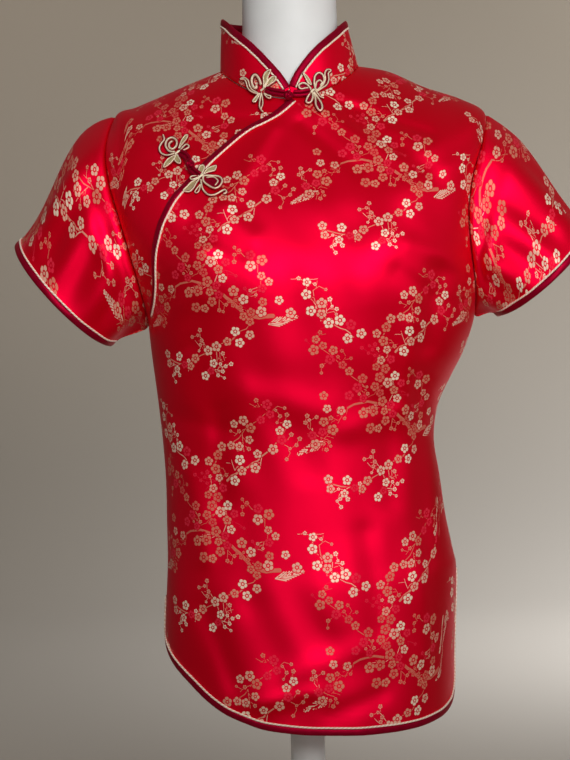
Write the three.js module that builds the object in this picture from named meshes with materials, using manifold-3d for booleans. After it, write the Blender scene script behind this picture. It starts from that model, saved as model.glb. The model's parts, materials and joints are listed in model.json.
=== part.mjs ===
// A short-sleeved cheongsam blouse of satin brocade, buttoned on a limbless dress form.
// Millimetres, +Z up, +X is the wearer's left, -Y the front. The origin is on the floor,
// under the middle of the stand's base.
import * as THREE from 'three';
import { mergeVertices } from 'three/addons/utils/BufferGeometryUtils.js';
import Module from 'manifold-3d';

const wasm = await Module();
wasm.setup();

// ---- driving dimensions ----
const CLOTH = 1.5;              // wall of a panel
const SEAM_GAP = 0.3;           // between pieces that are sewn together
const LAP_ANGLE = 8.1;          // how far the shoulder piece reaches under the front, degrees
const LAP_DROP = 2.4;           // how much lower the shoulder piece lies there
const FORM_INSET = 6.0;         // from the cloth's outer face to the dress form
const BINDING_WIDTH = 6;
const BINDING_LIFT = 0.5;
const SLEEVE_LIFT = 0.8;
const BINDING_THICKNESS = 1.0;
const PIPING_RADIUS = 0.9;
const NECK_RADIUS = 48.5;
const NECK_TOP = 992;
const FORM_BOTTOM = 318;
const POLE_RADIUS = 17.5;
const BASE_RADIUS = 150;
const BASE_THICKNESS = 10;
const FROG_THICKNESS = 2.2;
const FROG_STRAND = 2.4;
const KNOT_RADIUS = 4.6;

const SATIN = { color: 0xd0021f, roughness: 0.38, metalness: 0 };
const BINDING_SATIN = { color: 0x93102c, roughness: 0.42, metalness: 0 };
const GOLD_CORD = { color: 0xf2d9bd, roughness: 0.5, metalness: 0 };
const FORM_PAINT = { color: 0xe6e6e4, roughness: 0.7, metalness: 0 };

// ---- the body of the blouse, one row for each level from the neck seam to the hem ----
// zL, zR, zF, zB: heights at the right seam, left seam, front middle and back middle.
// xL, xR, yL, yR: places of the two seams; yF, yB: depths; arm: armhole's half angle, degrees.
const LEVELS = [
  { zL: 906, zR: 908, zF: 867, zB: 914, xL: -72, xR: 69, yL: 2, yR: 2, yF: -64, yB: 66, arm: 0 },
  { zL: 896, zR: 902, zF: 848, zB: 902, xL: -100, xR: 100, yL: 4, yR: 4, yF: -72, yB: 73, arm: 0 },
  { zL: 884, zR: 886, zF: 828, zB: 884, xL: -130, xR: 135, yL: 6, yR: 6, yF: -81, yB: 80, arm: 0 },
  { zL: 873, zR: 873, zF: 806, zB: 862, xL: -158, xR: 172, yL: 8, yR: 8, yF: -91, yB: 91, arm: 0 },
  { zL: 864, zR: 857, zF: 783, zB: 838, xL: -180, xR: 197, yL: 9, yR: 9, yF: -101, yB: 100, arm: 0 },
  { zL: 826, zR: 826, zF: 757, zB: 803, xL: -187, xR: 190, yL: 9, yR: 9, yF: -112, yB: 107, arm: 19 },
  { zL: 790, zR: 788, zF: 730, zB: 768, xL: -183, xR: 177, yL: 8, yR: 8, yF: -120, yB: 109, arm: 25 },
  { zL: 755, zR: 750, zF: 706, zB: 735, xL: -174, xR: 171, yL: 7, yR: 7, yF: -126, yB: 108, arm: 27 },
  { zL: 714, zR: 712, zF: 683, zB: 703, xL: -163, xR: 173, yL: 5, yR: 6, yF: -128, yB: 105, arm: 25 },
  { zL: 676, zR: 678, zF: 661, zB: 674, xL: -154, xR: 178, yL: 3, yR: 4, yF: -126, yB: 102, arm: 17 },
  { zL: 648, zR: 652, zF: 640, zB: 649, xL: -151, xR: 180, yL: 0, yR: 3, yF: -123, yB: 99, arm: 0 },
  { zL: 616, zR: 618, zF: 614, zB: 617, xL: -148, xR: 169, yL: -1, yR: 3, yF: -119, yB: 95, arm: 0 },
  { zL: 590, zR: 591, zF: 589, zB: 590, xL: -145, xR: 155, yL: -2, yR: 4, yF: -114, yB: 92, arm: 0 },
  { zL: 562, zR: 562, zF: 561, zB: 562, xL: -142, xR: 141, yL: -3, yR: 4, yF: -109, yB: 89, arm: 0 },
  { zL: 528, zR: 528, zF: 528, zB: 528, xL: -139, xR: 136, yL: -4, yR: 6, yF: -104, yB: 88, arm: 0 },
  { zL: 490, zR: 490, zF: 490, zB: 490, xL: -137, xR: 141, yL: -6, yR: 8, yF: -102, yB: 92, arm: 0 },
  { zL: 450, zR: 450, zF: 450, zB: 450, xL: -137, xR: 146, yL: -8, yR: 10, yF: -103, yB: 99, arm: 0 },
  { zL: 412, zR: 414, zF: 412, zB: 412, xL: -137, xR: 153, yL: -10, yR: 12, yF: -106, yB: 105, arm: 0 },
  { zL: 375, zR: 394, zF: 384, zB: 384, xL: -139, xR: 156, yL: -12, yR: 14, yF: -109, yB: 109, arm: 0 },
  { zL: 330, zR: 330, zF: 330, zB: 330, xL: -141, xR: 153, yL: -13, yR: 15, yF: -112, yB: 112, arm: 0 },
  { zL: 285, zR: 285, zF: 285, zB: 285, xL: -141, xR: 151, yL: -14, yR: 15, yF: -114, yB: 114, arm: 0 },
  { zL: 240, zR: 240, zF: 240, zB: 240, xL: -141, xR: 151, yL: -14, yR: 15, yF: -115, yB: 115, arm: 0 },
];
const NECK = 0;
const SHOULDER_TIP = 4;
const UNDERARM = 10;
const VENT_TOP = 18;
const ARMHOLE_STEPS = [4, 4.3, 4.8, 5.4, 6, 6.6, 7.2, 7.8, 8.4, 9, 9.5, 10];
const YOKE_STEPS = [0, 0.5, 1, 1.5, 2, 2.5, 3, 3.5];
const SKIRT_STEPS = [10.6, 11.3, 12, 12.6, 13.3, 14, 15, 16, 17, 18];
const HEM_ROWS = 5;
const FRONT_COLUMNS = 22;
const BACK_COLUMNS = 18;

// ---- height of the shirt-tail hem at each angle round the front, from right vent to left vent ----
const HEM = [
  { angle: 0, z: 334 }, { angle: 8, z: 330 }, { angle: 16, z: 322 }, { angle: 24, z: 314 },
  { angle: 32, z: 306 }, { angle: 40, z: 297 }, { angle: 50, z: 283 }, { angle: 60, z: 271 },
  { angle: 75, z: 258 }, { angle: 90, z: 252 }, { angle: 105, z: 250 }, { angle: 120, z: 250 },
  { angle: 135, z: 252 }, { angle: 150, z: 256 }, { angle: 162, z: 263 }, { angle: 172, z: 276 },
  { angle: 180, z: 300 },
];

// ---- the slanting opening: the front's free edge, as an angle at each level ----
const OPENING = [
  { level: 0, angle: 90 }, { level: 0.5, angle: 84.5 }, { level: 1, angle: 78 }, { level: 1.5, angle: 72 },
  { level: 2, angle: 68 }, { level: 3, angle: 64.5 }, { level: 4, angle: 62 }, { level: 5, angle: 58.4 },
  { level: 6, angle: 53.8 }, { level: 7, angle: 48.4 }, { level: 8, angle: 40.8 }, { level: 8.5, angle: 36.5 },
  { level: 9, angle: 29.5 }, { level: 9.5, angle: 19 }, { level: 10, angle: 8 }, { level: 10.6, angle: 0 },
];

// ---- mounds (height above 0), darts and folds (below 0) of the cloth, on x and z ----
const FOLDS = [
  { half: 'front', x0: -82, z0: 702, x1: -78, z1: 686, width: 50, height: 8 },
  { half: 'front', x0: 88, z0: 702, x1: 84, z1: 684, width: 50, height: 8 },
  { half: 'front', x0: -80, z0: 560, x1: -78, z1: 470, width: 11, height: -3 },
  { half: 'front', x0: 84, z0: 565, x1: 86, z1: 470, width: 12, height: -3 },
  { half: 'front', x0: 138, z0: 690, x1: 124, z1: 622, width: 14, height: -4.5 },
  { half: 'front', x0: 118, z0: 584, x1: 122, z1: 420, width: 13, height: -4 },
  { half: 'front', x0: -60, z0: 850, x1: -140, z1: 800, width: 18, height: -2 },
  { half: 'front', x0: 60, z0: 846, x1: 140, z1: 780, width: 13, height: -3 },
  { half: 'front', x0: -74, z0: 284, x1: -20, z1: 300, width: 18, height: 2.5 },
  { half: 'front', x0: 20, z0: 350, x1: 70, z1: 300, width: 22, height: -3 },
  { half: 'back', x0: -80, z0: 640, x1: -76, z1: 450, width: 12, height: -3 },
  { half: 'back', x0: 82, z0: 640, x1: 78, z1: 450, width: 12, height: -3 },
  { half: 'back', x0: -90, z0: 580, x1: 90, z1: 566, width: 14, height: 4 },
  { half: 'back', x0: -50, z0: 536, x1: 50, z1: 528, width: 13, height: -2.5 },
  { half: 'back', x0: -20, z0: 820, x1: -110, z1: 770, width: 16, height: -4 },
  { half: 'back', x0: 20, z0: 820, x1: 120, z1: 760, width: 16, height: -4 },
];

// ---- sleeves: tip and foot of the hem opening seen from the front, its depth, its dip, and
// how steeply the sleeve head falls from the armhole ----
const SLEEVES = {
  sleeve_right: { side: -1, tip: [-283, 737], foot: [-190, 630], depth: 62, dip: 11, fall: 0.42 },
  sleeve_left: { side: 1, tip: [297, 738], foot: [204, 651], depth: 62, dip: 11, fall: 0.85 },
};

// ---- collar height at each angle, 90 at the front middle, 0 and 180 at the sides ----
const COLLAR = [
  { angle: 0, height: 52 }, { angle: 25, height: 54 }, { angle: 45, height: 53 },
  { angle: 58, height: 50 }, { angle: 68, height: 44 }, { angle: 76, height: 36 },
  { angle: 83, height: 27 }, { angle: 88, height: 17 }, { angle: 90, height: 11 },
];
const COLLAR_BACK_HEIGHT = 50;
const COLLAR_LEFT_SCALE = 0.87;
const COLLAR_LEAN = { inward: 8, sideways: -5 };

// ---- frogs, seen from the front: x and z from each frog's middle ----
const FROGS = {
  frog_collar_right: {
    middle: [-29.5, 875],
    petals: [
      { name: 'hook', x: -7, z: 17, width: 13 }, { name: 'antenna', x: -22, z: 12, width: 4.5 },
      { name: 'upper', x: 3, z: 17, width: 6 }, { name: 'side', x: 10, z: 10, width: 6 },
      { name: 'small left', x: -9, z: -10, width: 6 }, { name: 'small right', x: 8, z: -10, width: 6 },
      { name: 'long', x: 0, z: -24, width: 7 }, { name: 'band', x: 20, z: -5, width: 5 },
    ],
  },
  frog_collar_left: {
    middle: [20.5, 873.5],
    petals: [
      { name: 'hook', x: 7, z: 17, width: 13 }, { name: 'antenna', x: 18, z: 21, width: 4.5 },
      { name: 'upper', x: -6, z: 15, width: 5.5 }, { name: 'side', x: -12, z: 3, width: 6 },
      { name: 'small left', x: -4, z: -13, width: 6 }, { name: 'tail', x: 12, z: -9, width: 5.5 },
      { name: 'long', x: 5, z: -21, width: 7 }, { name: 'band', x: -19, z: -3, width: 4.5 },
    ],
  },
  frog_upper: {
    middle: [-113, 814],
    petals: [
      { name: 'hook', x: -7, z: 10, width: 12 }, { name: 'antenna', x: -15, z: 21, width: 4.5 },
      { name: 'upper', x: 9, z: 19, width: 7 }, { name: 'side', x: 11, z: 6, width: 6.5 },
      { name: 'leaf', x: -13, z: -15, width: 7.5 }, { name: 'small', x: 0, z: -12, width: 5.5 },
      { name: 'band', x: 11, z: -10, width: 5 },
    ],
  },
  frog_lower: {
    middle: [-90, 788],
    petals: [
      { name: 'upper', x: 1, z: 9, width: 6 }, { name: 'leaf', x: 14, z: 11, width: 7 },
      { name: 'left', x: -10, z: -3, width: 6 }, { name: 'long', x: -17, z: -17, width: 7 },
      { name: 'small', x: -4, z: -19, width: 6 }, { name: 'hook', x: 15, z: -9, width: 14 },
      { name: 'antenna', x: 25, z: -18, width: 5 }, { name: 'band', x: -8, z: 9, width: 5 },
    ],
  },
};
const KNOTS = { knot_collar: [-3.5, 868.5], knot_opening: [-100.5, 801] };

const toRadians = (degrees) => (degrees * Math.PI) / 180;
const mix = (a, b, f) => a + (b - a) * f;
const smooth = (f) => {
  const c = Math.min(1, Math.max(0, f));
  return c * c * (3 - 2 * c);
};

// A smooth curve through four neighbouring values of a table.
function curveThrough(a, b, c, d, f) {
  const linear = 0.5 * (c - a);
  const square = a - 2.5 * b + 2 * c - 0.5 * d;
  const cube = 1.5 * (b - c) + 0.5 * (d - a);
  return b + f * (linear + f * (square + f * cube));
}

function levelValue(column, level) {
  const last = LEVELS.length - 1;
  const k = Math.min(last - 1, Math.max(0, Math.floor(level)));
  const row = (i) => LEVELS[Math.min(last, Math.max(0, i))][column];
  if (column === 'arm' && (level <= SHOULDER_TIP || level >= UNDERARM)) return 0;
  return curveThrough(row(k - 1), row(k), row(k + 1), row(k + 2), level - k);
}

function tableValue(table, key, at, column) {
  const k = Math.max(1, table.findIndex((row) => row[key] >= at));
  const [a, b] = [table[k - 1], table[k]];
  return mix(a[column], b[column], Math.min(1, Math.max(0, (at - a[key]) / (b[key] - a[key]))));
}

// Height of all mounds and folds of one half at a place, seen from the front.
function foldHeight(half, x, z) {
  let height = 0;
  for (const fold of FOLDS.filter((row) => row.half === half)) {
    const [dx, dz] = [fold.x1 - fold.x0, fold.z1 - fold.z0];
    const along = ((x - fold.x0) * dx + (z - fold.z0) * dz) / (dx * dx + dz * dz);
    const f = Math.min(1, Math.max(0, along));
    const away = Math.hypot(x - fold.x0 - f * dx, z - fold.z0 - f * dz);
    height += fold.height * Math.exp(-((away / fold.width) ** 2));
  }
  return height;
}

// The outer face of the blouse. Angle 0 is the wearer's right seam, 90 the middle, 180 the left.
function bodyPoint(half, angle, level, armScale = 1) {
  const value = (column) => levelValue(column, level);
  const square = 2 / mix(2, 2.35, smooth(level / 6));
  const arm = toRadians(value('arm') * armScale);
  const turn = toRadians(angle);
  const right = angle < 90;
  const [seamX, seamY] = right ? [value('xL'), value('yL')] : [value('xR'), value('yR')];
  const middle = (LEVELS[0].xL + LEVELS[0].xR) / 2 * smooth(1 - level / 4);
  const seamZ = mix(value('zL'), value('zR'), (1 - Math.cos(turn)) / 2);
  const across = Math.abs(Math.cos(turn)) ** square / Math.cos(arm) ** square;
  const out = Math.max(0, Math.sin(turn)) ** square;
  const x = middle + (seamX - middle) * across;
  const front = half === 'front';
  const shift = front ? -SEAM_GAP / 2 : SEAM_GAP / 2;
  const depth = front ? value('yF') : value('yB');
  const y = mix(seamY, depth, out) + shift;
  const rise = (Math.max(0, Math.sin(turn)) ** 1.6 - Math.sin(arm) ** 1.6) / (1 - Math.sin(arm) ** 1.6);
  const z = mix(seamZ, front ? value('zF') : value('zB'), rise);
  const fade = smooth((Math.min(angle, 180 - angle) - value('arm')) / 14);
  const folded = foldHeight(half, x, z) * fade * armScale;
  return new THREE.Vector3(x, y + (front ? -folded : folded), z);
}

// Unit normal of a surface, by the steps to its neighbours, turned to face the outward side.
function surfaceNormal(surface, a, b, stepA, stepB, outward) {
  const alongA = surface(a + stepA, b).sub(surface(a - stepA, b));
  const alongB = surface(a, b + stepB).sub(surface(a, b - stepB));
  const normal = alongA.cross(alongB).normalize();
  return normal.dot(outward) < 0 ? normal.negate() : normal;
}

const EDGE_ANGLE = 1.5;
const outwardFromAxis = (p) => new THREE.Vector3(p.x, p.y, p.z > 800 ? 60 : 0);

function bodyNormal(half, angle, level) {
  const inside = Math.min(180 - EDGE_ANGLE, Math.max(EDGE_ANGLE, angle));
  const inner = Math.min(LEVELS.length - 1.1, Math.max(0.1, level));
  const surface = (a, l) => bodyPoint(half, a, l);
  return surfaceNormal(surface, inside, inner, 1, 0.05, outwardFromAxis(surface(inside, inner)));
}

// ---- sleeves ----
const SLEEVE_SECTIONS = [0, 0.12, 0.3, 0.5, 0.7, 0.86, 1];

// Round the armhole: 0 at the shoulder tip, 1 under the arm in front, 2 back at the tip.
function armholePoint(side, round) {
  const half = round <= 1 ? 'front' : 'back';
  const f = round <= 1 ? round : 2 - round;
  const level = mix(SHOULDER_TIP, UNDERARM, f);
  const arm = levelValue('arm', level);
  return bodyPoint(half, side < 0 ? arm : 180 - arm, level);
}

function sleevePoint(name, round, along) {
  const { side, tip, foot, depth, dip, fall } = SLEEVES[name];
  const start = armholePoint(side, round);
  const middle = armholePoint(side, 0).add(armholePoint(side, 1)).multiplyScalar(0.5);
  const slope = new THREE.Vector3(tip[0] - foot[0], 0, tip[1] - foot[1]).multiplyScalar(0.5);
  const way = new THREE.Vector3(side * slope.z, 0, -Math.abs(slope.x)).normalize();
  const turn = Math.PI * round;
  const end = new THREE.Vector3((tip[0] + foot[0]) / 2, 4 - depth * Math.sin(turn), (tip[1] + foot[1]) / 2)
    .addScaledVector(slope, Math.cos(turn)).addScaledVector(way, dip * Math.abs(Math.sin(turn)));
  const reach = end.distanceTo(start) * 0.36;
  const radial = start.clone().sub(middle).setX(0).normalize();
  const leave = new THREE.Vector3(side, 0, -fall).addScaledVector(radial, 0.42).normalize();
  const arrive = way.clone().addScaledVector(radial, 0.06).normalize();
  const curve = new THREE.CubicBezierCurve3(start, start.clone().addScaledVector(leave, reach),
    end.clone().addScaledVector(arrive, -reach), end);
  return curve.getPoint(along);
}

function sleeveNormal(name, round, along) {
  const inner = Math.min(0.97, Math.max(0.03, along));
  const surface = (r, s) => sleevePoint(name, (r + 2) % 2, s);
  const section = [0, 0.5, 1, 1.5].map((r) => surface(r, inner));
  const centre = section.reduce((sum, p) => sum.add(p), new THREE.Vector3()).multiplyScalar(0.25);
  return surfaceNormal(surface, round, inner, 0.03, 0.03, surface(round, inner).sub(centre));
}

// At a seam both pieces take their thickness along the same direction, so that they never cross.
function armholeNormal(side, round) {
  const name = side < 0 ? 'sleeve_right' : 'sleeve_left';
  const half = round <= 1 ? 'front' : 'back';
  const level = mix(SHOULDER_TIP, UNDERARM, round <= 1 ? round : 2 - round);
  const arm = levelValue('arm', level);
  const onBody = bodyNormal(half, side < 0 ? arm : 180 - arm, level);
  return onBody.add(sleeveNormal(name, round, 0)).normalize();
}

// ---- collar ----
function collarBase(angle) {
  return angle <= 180 ? bodyPoint('front', angle, NECK) : bodyPoint('back', 360 - angle, NECK);
}

function collarHeight(angle) {
  const scale = mix(1, COLLAR_LEFT_SCALE, (1 - Math.cos(toRadians(angle))) / 2);
  if (angle > 180) return scale * mix(COLLAR[0].height, COLLAR_BACK_HEIGHT, Math.sin(toRadians(angle - 180)));
  return scale * tableValue(COLLAR, 'angle', Math.min(angle, 180 - angle), 'height');
}

function collarPoint(angle, up) {
  const base = collarBase(angle);
  const height = collarHeight(angle) * up;
  const lean = height / 52;
  const flat = new THREE.Vector3(base.x, base.y, 0).normalize();
  return new THREE.Vector3(base.x + COLLAR_LEAN.sideways * lean, base.y, base.z + SEAM_GAP + height)
    .addScaledVector(flat, -COLLAR_LEAN.inward * lean);
}

function collarNormal(angle) {
  const surface = (a, up) => collarPoint((a + 360) % 360, up);
  const { x, y } = surface(angle, 0.5);
  return surfaceNormal(surface, angle, 0.5, 1.5, 0.3, new THREE.Vector3(x, y, 0));
}

function neckSeamNormal(half, angle) {
  const onBody = bodyNormal(half, angle, NECK);
  return onBody.add(collarNormal(half === 'front' ? angle : 360 - angle)).normalize();
}

// ---- solids from rows of points ----
function geometryFrom(points, triangles) {
  const geometry = new THREE.BufferGeometry();
  geometry.setAttribute('position', new THREE.Float32BufferAttribute(points.flatMap((p) => [p.x, p.y, p.z]), 3));
  geometry.setIndex(signedVolume(points, triangles) < 0 ? triangles.reverse() : triangles);
  return geometry;
}

function signedVolume(points, triangles) {
  let volume = 0;
  for (let i = 0; i < triangles.length; i += 3) {
    const [a, b, c] = [points[triangles[i]], points[triangles[i + 1]], points[triangles[i + 2]]];
    volume += a.clone().cross(b).dot(c) / 6;
  }
  return volume;
}

// A cloth wall between two grids of points; it closes on itself where it wraps.
function clothWall(outer, inner, wraps) {
  const [rows, columns] = [outer.length, outer[0].length];
  const points = [...outer.flat(), ...inner.flat()];
  const triangles = [];
  const at = (face, i, j) => (face * rows + i) * columns + (j % columns);
  const quad = (a, b, c, d) => triangles.push(a, b, c, a, c, d);
  const spans = wraps ? columns : columns - 1;
  for (let i = 0; i < rows - 1; i += 1) {
    for (let j = 0; j < spans; j += 1) {
      quad(at(0, i, j), at(0, i + 1, j), at(0, i + 1, j + 1), at(0, i, j + 1));
      quad(at(1, i, j), at(1, i, j + 1), at(1, i + 1, j + 1), at(1, i + 1, j));
    }
  }
  for (let j = 0; j < spans; j += 1) {
    quad(at(0, 0, j), at(0, 0, j + 1), at(1, 0, j + 1), at(1, 0, j));
    quad(at(0, rows - 1, j), at(1, rows - 1, j), at(1, rows - 1, j + 1), at(0, rows - 1, j + 1));
  }
  for (let i = 0; i < rows - 1 && !wraps; i += 1) {
    quad(at(0, i, 0), at(1, i, 0), at(1, i + 1, 0), at(0, i + 1, 0));
    quad(at(0, i, columns - 1), at(0, i + 1, columns - 1), at(1, i + 1, columns - 1), at(1, i, columns - 1));
  }
  return geometryFrom(points, triangles);
}

// A solid through closed sections, with flat ends unless it wraps.
function loft(sections, wraps) {
  const count = sections[0].length;
  const points = sections.flat();
  const triangles = [];
  const at = (i, k) => (i % sections.length) * count + (k % count);
  for (let i = 0; i < sections.length - (wraps ? 0 : 1); i += 1) {
    for (let k = 0; k < count; k += 1) {
      triangles.push(at(i, k), at(i + 1, k), at(i + 1, k + 1), at(i, k), at(i + 1, k + 1), at(i, k + 1));
    }
  }
  for (let k = 1; k < count - 1 && !wraps; k += 1) {
    triangles.push(at(0, 0), at(0, k), at(0, k + 1));
    triangles.push(at(sections.length - 1, 0), at(sections.length - 1, k + 1), at(sections.length - 1, k));
  }
  return geometryFrom(points, triangles);
}

const group = new THREE.Group();

function addPiece(name, geometry, finish) {
  const mesh = new THREE.Mesh(geometry, new THREE.MeshStandardMaterial(finish));
  mesh.name = name;
  group.add(mesh);
}

// ---- panels ----
function wallDirection(half, angle, level) {
  const arm = levelValue('arm', level);
  const onArmhole = level >= SHOULDER_TIP && level <= UNDERARM;
  if (level <= NECK) return neckSeamNormal(half, angle);
  const f = (level - SHOULDER_TIP) / (UNDERARM - SHOULDER_TIP);
  const round = half === 'front' ? f : 2 - f;
  if (onArmhole && Math.abs(angle - arm) < 0.01) return armholeNormal(-1, round);
  if (onArmhole && Math.abs(180 - arm - angle) < 0.01) return armholeNormal(1, round);
  return bodyNormal(half, angle, level);
}

function hemLevel(half, angle) {
  const z = tableValue(HEM, 'angle', angle, 'z');
  let [low, high] = [VENT_TOP, LEVELS.length - 1];
  for (let step = 0; step < 30; step += 1) {
    const middle = (low + high) / 2;
    if (bodyPoint(half, angle, middle).z > z) low = middle;
    else high = middle;
  }
  return low;
}

const openingAngle = (level) => tableValue(OPENING, 'level', level, 'angle');

// Columns follow the seams: they run from the first to the last angle of each level.
function bodyPanel(half, levels, columns, firstAngle, lastAngle, drop = () => 0) {
  const outer = [];
  const inner = [];
  for (const level of levels) {
    const [rowOuter, rowInner] = [[], []];
    for (let j = 0; j < columns; j += 1) {
      const f = j / (columns - 1);
      const shown = Math.min(level, VENT_TOP);
      const angle = mix(firstAngle(shown), lastAngle(shown), f);
      const hem = (level - VENT_TOP) / (LEVELS.length - 1 - VENT_TOP);
      const there = level <= VENT_TOP ? level : mix(VENT_TOP, hemLevel(half, angle), hem);
      const direction = wallDirection(half, angle, there);
      const point = bodyPoint(half, angle, there).addScaledVector(direction, -drop(angle, shown));
      rowOuter.push(point);
      rowInner.push(point.clone().addScaledVector(direction, -CLOTH));
    }
    outer.push(rowOuter);
    inner.push(rowInner);
  }
  return clothWall(outer, inner, false);
}

function skirtLevels() {
  const last = LEVELS.length - 1;
  const hemRows = Array.from({ length: HEM_ROWS }, (_, i) => mix(VENT_TOP, last, (i + 1) / HEM_ROWS));
  return [...YOKE_STEPS, ...ARMHOLE_STEPS, ...SKIRT_STEPS, ...hemRows];
}

function addPanels() {
  const rightArm = (level) => levelValue('arm', level);
  const leftArm = (level) => 180 - levelValue('arm', level);
  const frontEdge = (level) => (level < OPENING.at(-1).level ? openingAngle(level) : 0);
  const underEdge = (level) => openingAngle(level) + LAP_ANGLE;
  const levels = skirtLevels();
  addPiece('front_panel', bodyPanel('front', levels, FRONT_COLUMNS, frontEdge, leftArm), SATIN);
  addPiece('back_panel', bodyPanel('back', levels, BACK_COLUMNS, rightArm, leftArm), SATIN);
  const shoulderLevels = levels.filter((level) => level <= UNDERARM);
  const drop = (angle, level) => LAP_DROP
    * smooth((angle - rightArm(level)) / (openingAngle(level) - rightArm(level) - 1));
  addPiece('shoulder_panel', bodyPanel('front', shoulderLevels, 9, rightArm, underEdge, drop), SATIN);
}

function sleeveRounds() {
  const steps = ARMHOLE_STEPS.map((level) => (level - SHOULDER_TIP) / (UNDERARM - SHOULDER_TIP));
  return [...steps, ...steps.slice(1, -1).reverse().map((f) => 2 - f)];
}

function addSleeves() {
  const rounds = sleeveRounds();
  for (const [name, { side }] of Object.entries(SLEEVES)) {
    const outer = [];
    const inner = [];
    for (const section of SLEEVE_SECTIONS) {
      const rowOuter = rounds.map((round) => {
        const length = sleevePoint(name, round, 0).distanceTo(sleevePoint(name, round, 1));
        return sleevePoint(name, round, Math.max(section, (SEAM_GAP * 1.3) / length));
      });
      const directions = rounds.map((round) => (section === 0 ? armholeNormal(side, round)
        : sleeveNormal(name, round, section)));
      outer.push(rowOuter);
      inner.push(rowOuter.map((point, k) => point.clone().addScaledVector(directions[k], -CLOTH)));
    }
    addPiece(name, clothWall(outer, inner, true), SATIN);
  }
}

function collarAngles() {
  const front = [90.4, 92, 95, 99, 105, 113, 123, 135, 150, 165, 180];
  const back = [200, 220, 240, 260, 280, 300, 320, 340];
  return [...front, ...back, ...front.map((angle) => 540 - angle).reverse()];
}
const wrapped = (angle) => (angle > 360 ? angle - 360 : angle);

function addCollar() {
  const rows = [0, 0.35, 0.7, 1];
  const grid = (inset) => rows.map((up) => collarAngles().map((angle) => {
    const a = wrapped(angle);
    const half = a <= 180 ? 'front' : 'back';
    const direction = up === 0 ? neckSeamNormal(half, a <= 180 ? a : 360 - a) : collarNormal(a);
    return collarPoint(a, up).addScaledVector(direction, -inset);
  }));
  addPiece('collar', clothWall(grid(0), grid(CLOTH), false), SATIN);
}

// ---- bindings and pipings: sections carried along an edge ----
// Each station has the edge's point, the outward normal and the direction into the panel.
function edgeStations(points, normals) {
  return points.map((point, i) => {
    const before = points[Math.max(0, i - 1)];
    const after = points[Math.min(points.length - 1, i + 1)];
    const along = after.clone().sub(before).normalize();
    return { point, normal: normals[i], inward: normals[i].clone().cross(along).normalize() };
  });
}

function addBoundEdge(name, stations, inwardSign, wraps, lift = BINDING_LIFT) {
  const place = (station, across, high) => station.point.clone()
    .addScaledVector(station.inward, inwardSign * across).addScaledVector(station.normal, high);
  const top = lift + BINDING_THICKNESS;
  const strip = stations.map((s) => [place(s, 0.2, lift), place(s, 0.2, top),
    place(s, BINDING_WIDTH, top), place(s, BINDING_WIDTH, lift)]);
  addPiece(`${name}_binding`, loft(strip, wraps), BINDING_SATIN);
  const cordMiddle = BINDING_WIDTH + SEAM_GAP + PIPING_RADIUS;
  const cord = stations.map((s) => Array.from({ length: 5 }, (_, k) => {
    const turn = (2 * Math.PI * k) / 5;
    return place(s, cordMiddle + PIPING_RADIUS * Math.cos(turn),
      lift + 0.2 + PIPING_RADIUS * (1 + Math.sin(turn)));
  }));
  addPiece(`${name}_piping`, loft(cord, wraps), GOLD_CORD);
}

function hemStations(half) {
  const columns = half === 'front' ? FRONT_COLUMNS : BACK_COLUMNS;
  const steps = [];
  for (let i = 1; i <= HEM_ROWS; i += 1) steps.push({ angle: 0.5, fraction: (i - 0.4) / (HEM_ROWS + 0.2) });
  for (let j = 0.5; j < 1; j += 0.2) steps.push({ angle: (180 * (j + 0.01)) / (columns - 1), fraction: 1 });
  for (let j = 1; j < columns - 1; j += 1) steps.push({ angle: (180 * j) / (columns - 1), fraction: 1 });
  const mirrored = steps.slice(0, HEM_ROWS + 3).reverse();
  steps.push(...mirrored.map(({ angle, fraction }) => ({ angle: 180 - angle, fraction })));
  const levelOf = ({ angle, fraction }) => mix(VENT_TOP, hemLevel(half, angle), fraction);
  const points = steps.map((step) => bodyPoint(half, step.angle, levelOf(step)));
  const normals = steps.map((step) => bodyNormal(half, step.angle, levelOf(step)));
  return edgeStations(points, normals);
}

function openingStations() {
  const levels = [0.25, ...YOKE_STEPS.slice(1), ...ARMHOLE_STEPS.slice(0, -1)];
  const points = levels.map((level) => bodyPoint('front', openingAngle(level), level));
  const normals = levels.map((level) => bodyNormal('front', openingAngle(level), level));
  return edgeStations(points, normals);
}

function sleeveStations(name) {
  return sleeveRounds().map((round) => {
    const point = sleevePoint(name, round, 1);
    const length = point.distanceTo(sleevePoint(name, round, 0));
    const inner = sleevePoint(name, round, 1 - (BINDING_WIDTH + 2) / length);
    const inward = inner.sub(point).normalize();
    const normal = sleeveNormal(name, round, 1);
    return { point, inward, normal: normal.addScaledVector(inward, -normal.dot(inward)).normalize() };
  });
}

function collarStations() {
  const angles = collarAngles().map(wrapped);
  const points = angles.map((angle) => collarPoint(angle, 1));
  return edgeStations(points, angles.map(collarNormal));
}

// The side on which an edge's cloth lies, from a point that is known to be on the cloth.
function signTowards(station, target) {
  return Math.sign(target.clone().sub(station.point).dot(station.inward));
}

function addBoundEdges() {
  const opening = openingStations();
  addBoundEdge('opening', opening, signTowards(opening[5], bodyPoint('front', 90, 5)), false);
  for (const half of ['front', 'back']) {
    const hem = hemStations(half);
    const towards = signTowards(hem[Math.floor(hem.length / 2)], bodyPoint(half, 90, VENT_TOP));
    addBoundEdge(`${half}_hem`, hem, towards, false);
  }
  for (const name of Object.keys(SLEEVES)) {
    addBoundEdge(name, sleeveStations(name), 1, true, SLEEVE_LIFT);
  }
  const collar = collarStations();
  addBoundEdge('collar', collar, signTowards(collar[14], collarPoint(wrapped(collarAngles()[14]), 0)), false);
}

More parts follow.
